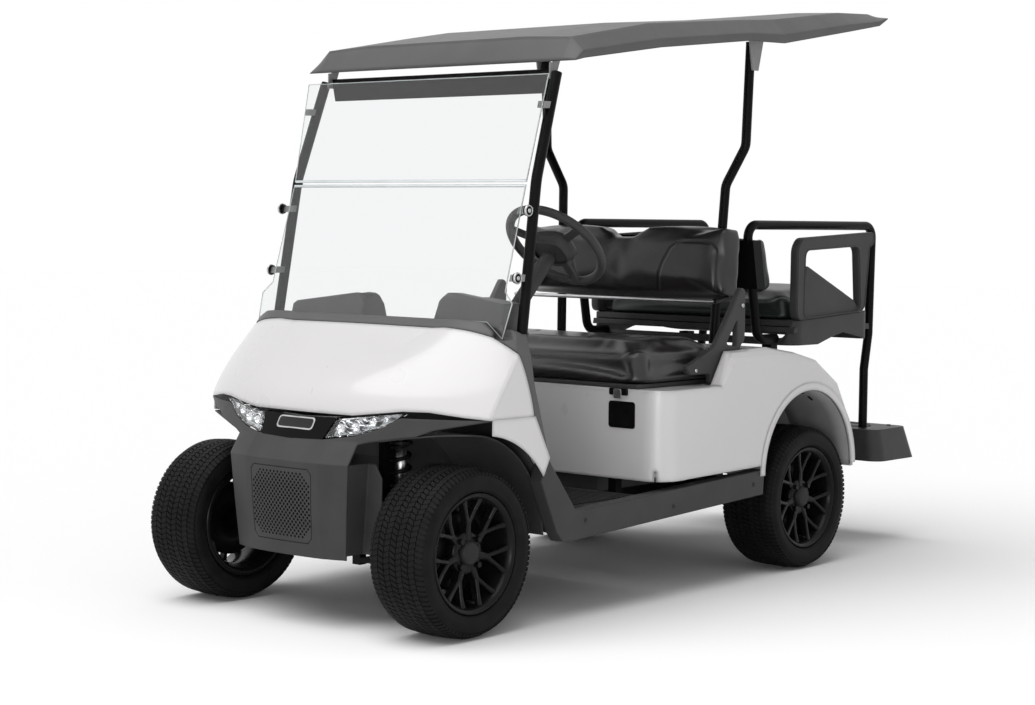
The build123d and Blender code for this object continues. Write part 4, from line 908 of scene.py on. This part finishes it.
def side_block(name, outlines, low_x, high_x, edge=2.5):
    """Plate that stands along the cart, with rounded edges and any window cut through: outlines as (y, z)."""
    curve = bpy.data.curves.new(name, "CURVE")
    curve.dimensions = "2D"
    curve.fill_mode = "BOTH"
    curve.extrude = ((high_x - low_x) / 2 - edge) * MM
    curve.bevel_depth = edge * MM
    curve.bevel_resolution = 2
    curve.offset = -edge * MM
    for outline in outlines:
        spline = curve.splines.new("POLY")
        spline.points.add(len(outline) - 1)
        spline.use_cyclic_u = True
        for point, place in zip(spline.points, outline):
            point.co = (place[0] * MM, place[1] * MM, 0, 1)
    block = meshed(link(bpy.data.objects.new(name, curve)))
    for vertex in block.data.vertices:
        y, z, x = vertex.co
        vertex.co = ((low_x + high_x) / 2 * MM + x, y, z)
    welded = bmesh.new()
    welded.from_mesh(block.data)
    bmesh.ops.remove_doubles(welded, verts=welded.verts, dist=0.00002)
    welded.to_mesh(block.data)
    welded.free()
    face_outwards(block)
    return block


ARM = ((612, 838.3), (612, 1090), (640, 1124), (1118, 1146), (1118, 1104), (1090, 1098), (1060, 860.6))
ARM_WINDOW = ((660, 850), (665, 1080), (1010, 1094), (1030, 866))
ARM_FILLER = ((655, 845), (680, 1030), (1000, 900), (1034, 864))
RESTRAINT = ((-132, 716), (-116, 690), (0, 690), (0, 653.6), (150, 653.6), (160, 700), (164, 772), (190, 790),
             (190, 955), (166, 966), (120, 900), (20, 772))
RESTRAINT_WINDOW = ((84, 782), (146, 862), (146, 770))
arm_parts = []
restraint_parts = []
for out, hand in SIDES:
    arm_x = (423, 453) if out > 0 else (-453, -423)
    arm_lines = [softened(ARM, 34), softened(ARM_WINDOW, 26)[::-1]]
    arm_parts.append(side_block("arm_" + hand, arm_lines, *arm_x, edge=4))
    arm_parts.append(side_block("arm_filler_" + hand, [softened(ARM_FILLER, 14)], arm_x[0] + 8, arm_x[1] - 8,
                                edge=1.5))
    for part, outline in (("rim", ARM), ("window", ARM_WINDOW)):
        inset = -5 if part == "rim" else 5
        middle = sum((Vector(point) for point in outline), Vector((0, 0))) / len(outline)
        line = []
        for point in softened(outline, 30):
            away = point - middle
            line.append(point + away.normalized() * inset)
        for face_x in arm_x:
            bead = [Vector((face_x * MM, y * MM, z * MM)) for y, z in line]
            arm_parts.append(meshed(rod("arm_%s_%s_%d" % (part, hand, face_x), bead, 0.0022, cyclic=True)))
    restraint_x = (505, 527) if out > 0 else (-527, -505)
    restraint_lines = [softened(RESTRAINT, 20), softened(RESTRAINT_WINDOW, 14)[::-1]]
    restraint_parts.append(side_block("restraint_" + hand, restraint_lines, *restraint_x, edge=3.5))
armrest_piece = joined("armrests_moulded", arm_parts)
ride(armrest_piece, "chassis", M["dark_plastic"])
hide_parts("armrests")
restraint_piece = joined("restraints_moulded", restraint_parts)
ride(restraint_piece, "chassis", M["dark_plastic"])
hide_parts("hip_restraints")

# ---------------------------------------------------------------- front backrest frame bar
bar_light = rod("backrest_bar", [Vector((-0.43, 0.150, 0.914)), Vector((0.43, 0.150, 0.914))], 0.0065)
ride(bar_light, "chassis", M["bright_steel"])
for out, hand in SIDES:
    route = [Vector((out * x, y, z)) for x, y, z in ((0.43, 0.150, 0.914), (0.43, 0.225, 0.925),
                                                     (0.352, 0.290, 0.955))]
    hanger = rod("backrest_bar_end_" + hand, route, 0.0065)
    ride(hanger, "chassis", M["black_steel"])

# ---------------------------------------------------------------- bolts and footrest ridges
BOLTS = (
    ("restraint_bolt_low", 0.527, 0.128, 0.745, 0.008), ("restraint_bolt_high", 0.527, 0.172, 0.905, 0.007),
    ("restraint_bolt_front", 0.527, -0.085, 0.703, 0.006),
)
for name, x, y, z, size in BOLTS:
    for out, hand in SIDES:
        bolt = bolt_head(name + "_" + hand, (out * x, y, z), (out, 0, 0), size, 0.005)
        ride(bolt, "chassis", M["bright_steel"])
foot_tree = node_tree_of("footrest")
for number, (x, y) in enumerate((x, y) for x in (0.40, 0.0, -0.40) for y in (1.155, 1.335)):
    hit = foot_tree.ray_cast(Vector((x, y, 0.6)), Vector((0, 0, -1)))[0]
    bolt = bolt_head("footrest_bolt_%d" % number, hit, (0, 0, 1), 0.009, 0.004)
    ride(bolt, "chassis", M["black_steel"])
for out, hand in SIDES:
    ring = lay_on(foot_tree, oval((out * 0.25, 1.25, 0.42), 0.12, 0.06, 40), (0, 0, 1), 0.0005)
    ridge = rod("footrest_ridge_" + hand, ring, 0.0022, cyclic=True)
    ride(ridge, "chassis", M["dark_plastic"])

# ---------------------------------------------------------------- rear wheel-arch liners
ARCH_Y, ARCH_Z = 0.505, 0.345
SLOT_REACH = 0.259
for out, hand in SIDES:
    verts = []
    faces = []
    for step in range(33):
        angle = math.radians(-2 + 184 * step / 32)
        for x, reach in ((0.575, 0.2655), (0.52, 0.262), (0.46, 0.262), (0.40, 0.258), (0.36, 0.252)):
            height = max(ARCH_Z + reach * math.sin(angle), 0.338)
            verts.append(Vector((out * x, ARCH_Y + reach * math.cos(angle), height)))
    for step in range(32):
        for row in range(4):
            a = step * 5 + row
            faces.append((a, a + 1, a + 6, a + 5) if out > 0 else (a, a + 5, a + 6, a + 1))
    arch = mesh_object("rear_arch_liner_" + hand, verts, faces)
    modifier(arch, "SOLIDIFY", "wall", thickness=0.003, offset=1)
    ride(arch, "chassis", M["liner_grey"])
    # Slots in the liner drawn as black plates: painted shade in the slots.
    for number, degrees_round in enumerate((62, 76)):
        angle = math.radians(degrees_round)
        slot_at = Vector((out * 0.505, ARCH_Y + SLOT_REACH * math.cos(angle),
                          ARCH_Z + SLOT_REACH * math.sin(angle)))
        along = Vector((0, -math.sin(angle), math.cos(angle)))
        slit = outline_block("liner_slot_%s_%d" % (hand, number), rounded(0.008, 0.030, 0.0035), slot_at,
                             (1, 0, 0), along * -1, 0.002)
        ride(slit, "chassis", M["black_finish_and_painted_hole_shade"])

# ---------------------------------------------------------------- floor, world and lamps
floor_mesh = bpy.data.meshes.new("floor")
floor_mesh.from_pydata([(-30, -30, 0), (30, -30, 0), (30, 30, 0), (-30, 30, 0)], [], [(0, 1, 2, 3)])
floor = link(bpy.data.objects.new("floor", floor_mesh))
floor_material, _, floor_shader = node_material("floor")
floor_shader.inputs["Base Color"].default_value = (0.97, 0.97, 0.97, 1)
floor_shader.inputs["Roughness"].default_value = 0.9
floor_shader.inputs["Specular IOR Level"].default_value = 0.0
floor_mesh.materials.append(floor_material)

world = bpy.data.worlds.new("studio")
bpy.context.scene.world = world
world.use_nodes = True
tree = world.node_tree
lit = tree.nodes["Background"]
lit.inputs["Color"].default_value = (1, 1, 1, 1)
lit.inputs["Strength"].default_value = 0.40
seen = tree.nodes.new("ShaderNodeBackground")
seen.inputs["Color"].default_value = (1, 1, 1, 1)
seen.inputs["Strength"].default_value = 1.0
rays = tree.nodes.new("ShaderNodeLightPath")
either = tree.nodes.new("ShaderNodeMath")
either.operation = "MAXIMUM"
tree.links.new(rays.outputs["Is Camera Ray"], either.inputs[0])
tree.links.new(rays.outputs["Is Transmission Ray"], either.inputs[1])
mix = tree.nodes.new("ShaderNodeMixShader")
bright = tree.nodes.new("ShaderNodeMath")
bright.operation = "MAXIMUM"
tree.links.new(either.outputs[0], bright.inputs[0])
tree.links.new(rays.outputs["Is Glossy Ray"], bright.inputs[1])
tree.links.new(bright.outputs[0], mix.inputs["Fac"])
tree.links.new(lit.outputs[0], mix.inputs[1])
tree.links.new(seen.outputs[0], mix.inputs[2])
tree.links.new(mix.outputs[0], tree.nodes["World Output"].inputs["Surface"])


def lamp(name, place, target, size, energy):
    data = bpy.data.lights.new(name, "AREA")
    data.shape = "RECTANGLE"
    data.size, data.size_y = size
    data.energy = energy
    obj = link(bpy.data.objects.new(name, data))
    obj.location = place
    obj.rotation_euler = (Vector(target) - Vector(place)).to_track_quat("-Z", "Y").to_euler()


sun_data = bpy.data.lights.new("soft_sun", "SUN")
sun_data.energy = 2.15
sun_data.angle = math.radians(60)
sun = link(bpy.data.objects.new("soft_sun", sun_data))
sun.rotation_euler = Vector((0.12, 0.42, -1.0)).to_track_quat("-Z", "Y").to_euler()
lamp("front_low", (2.6, -3.8, 0.7), (0.4, -0.3, 0.5), (1.6, 0.8), 30)
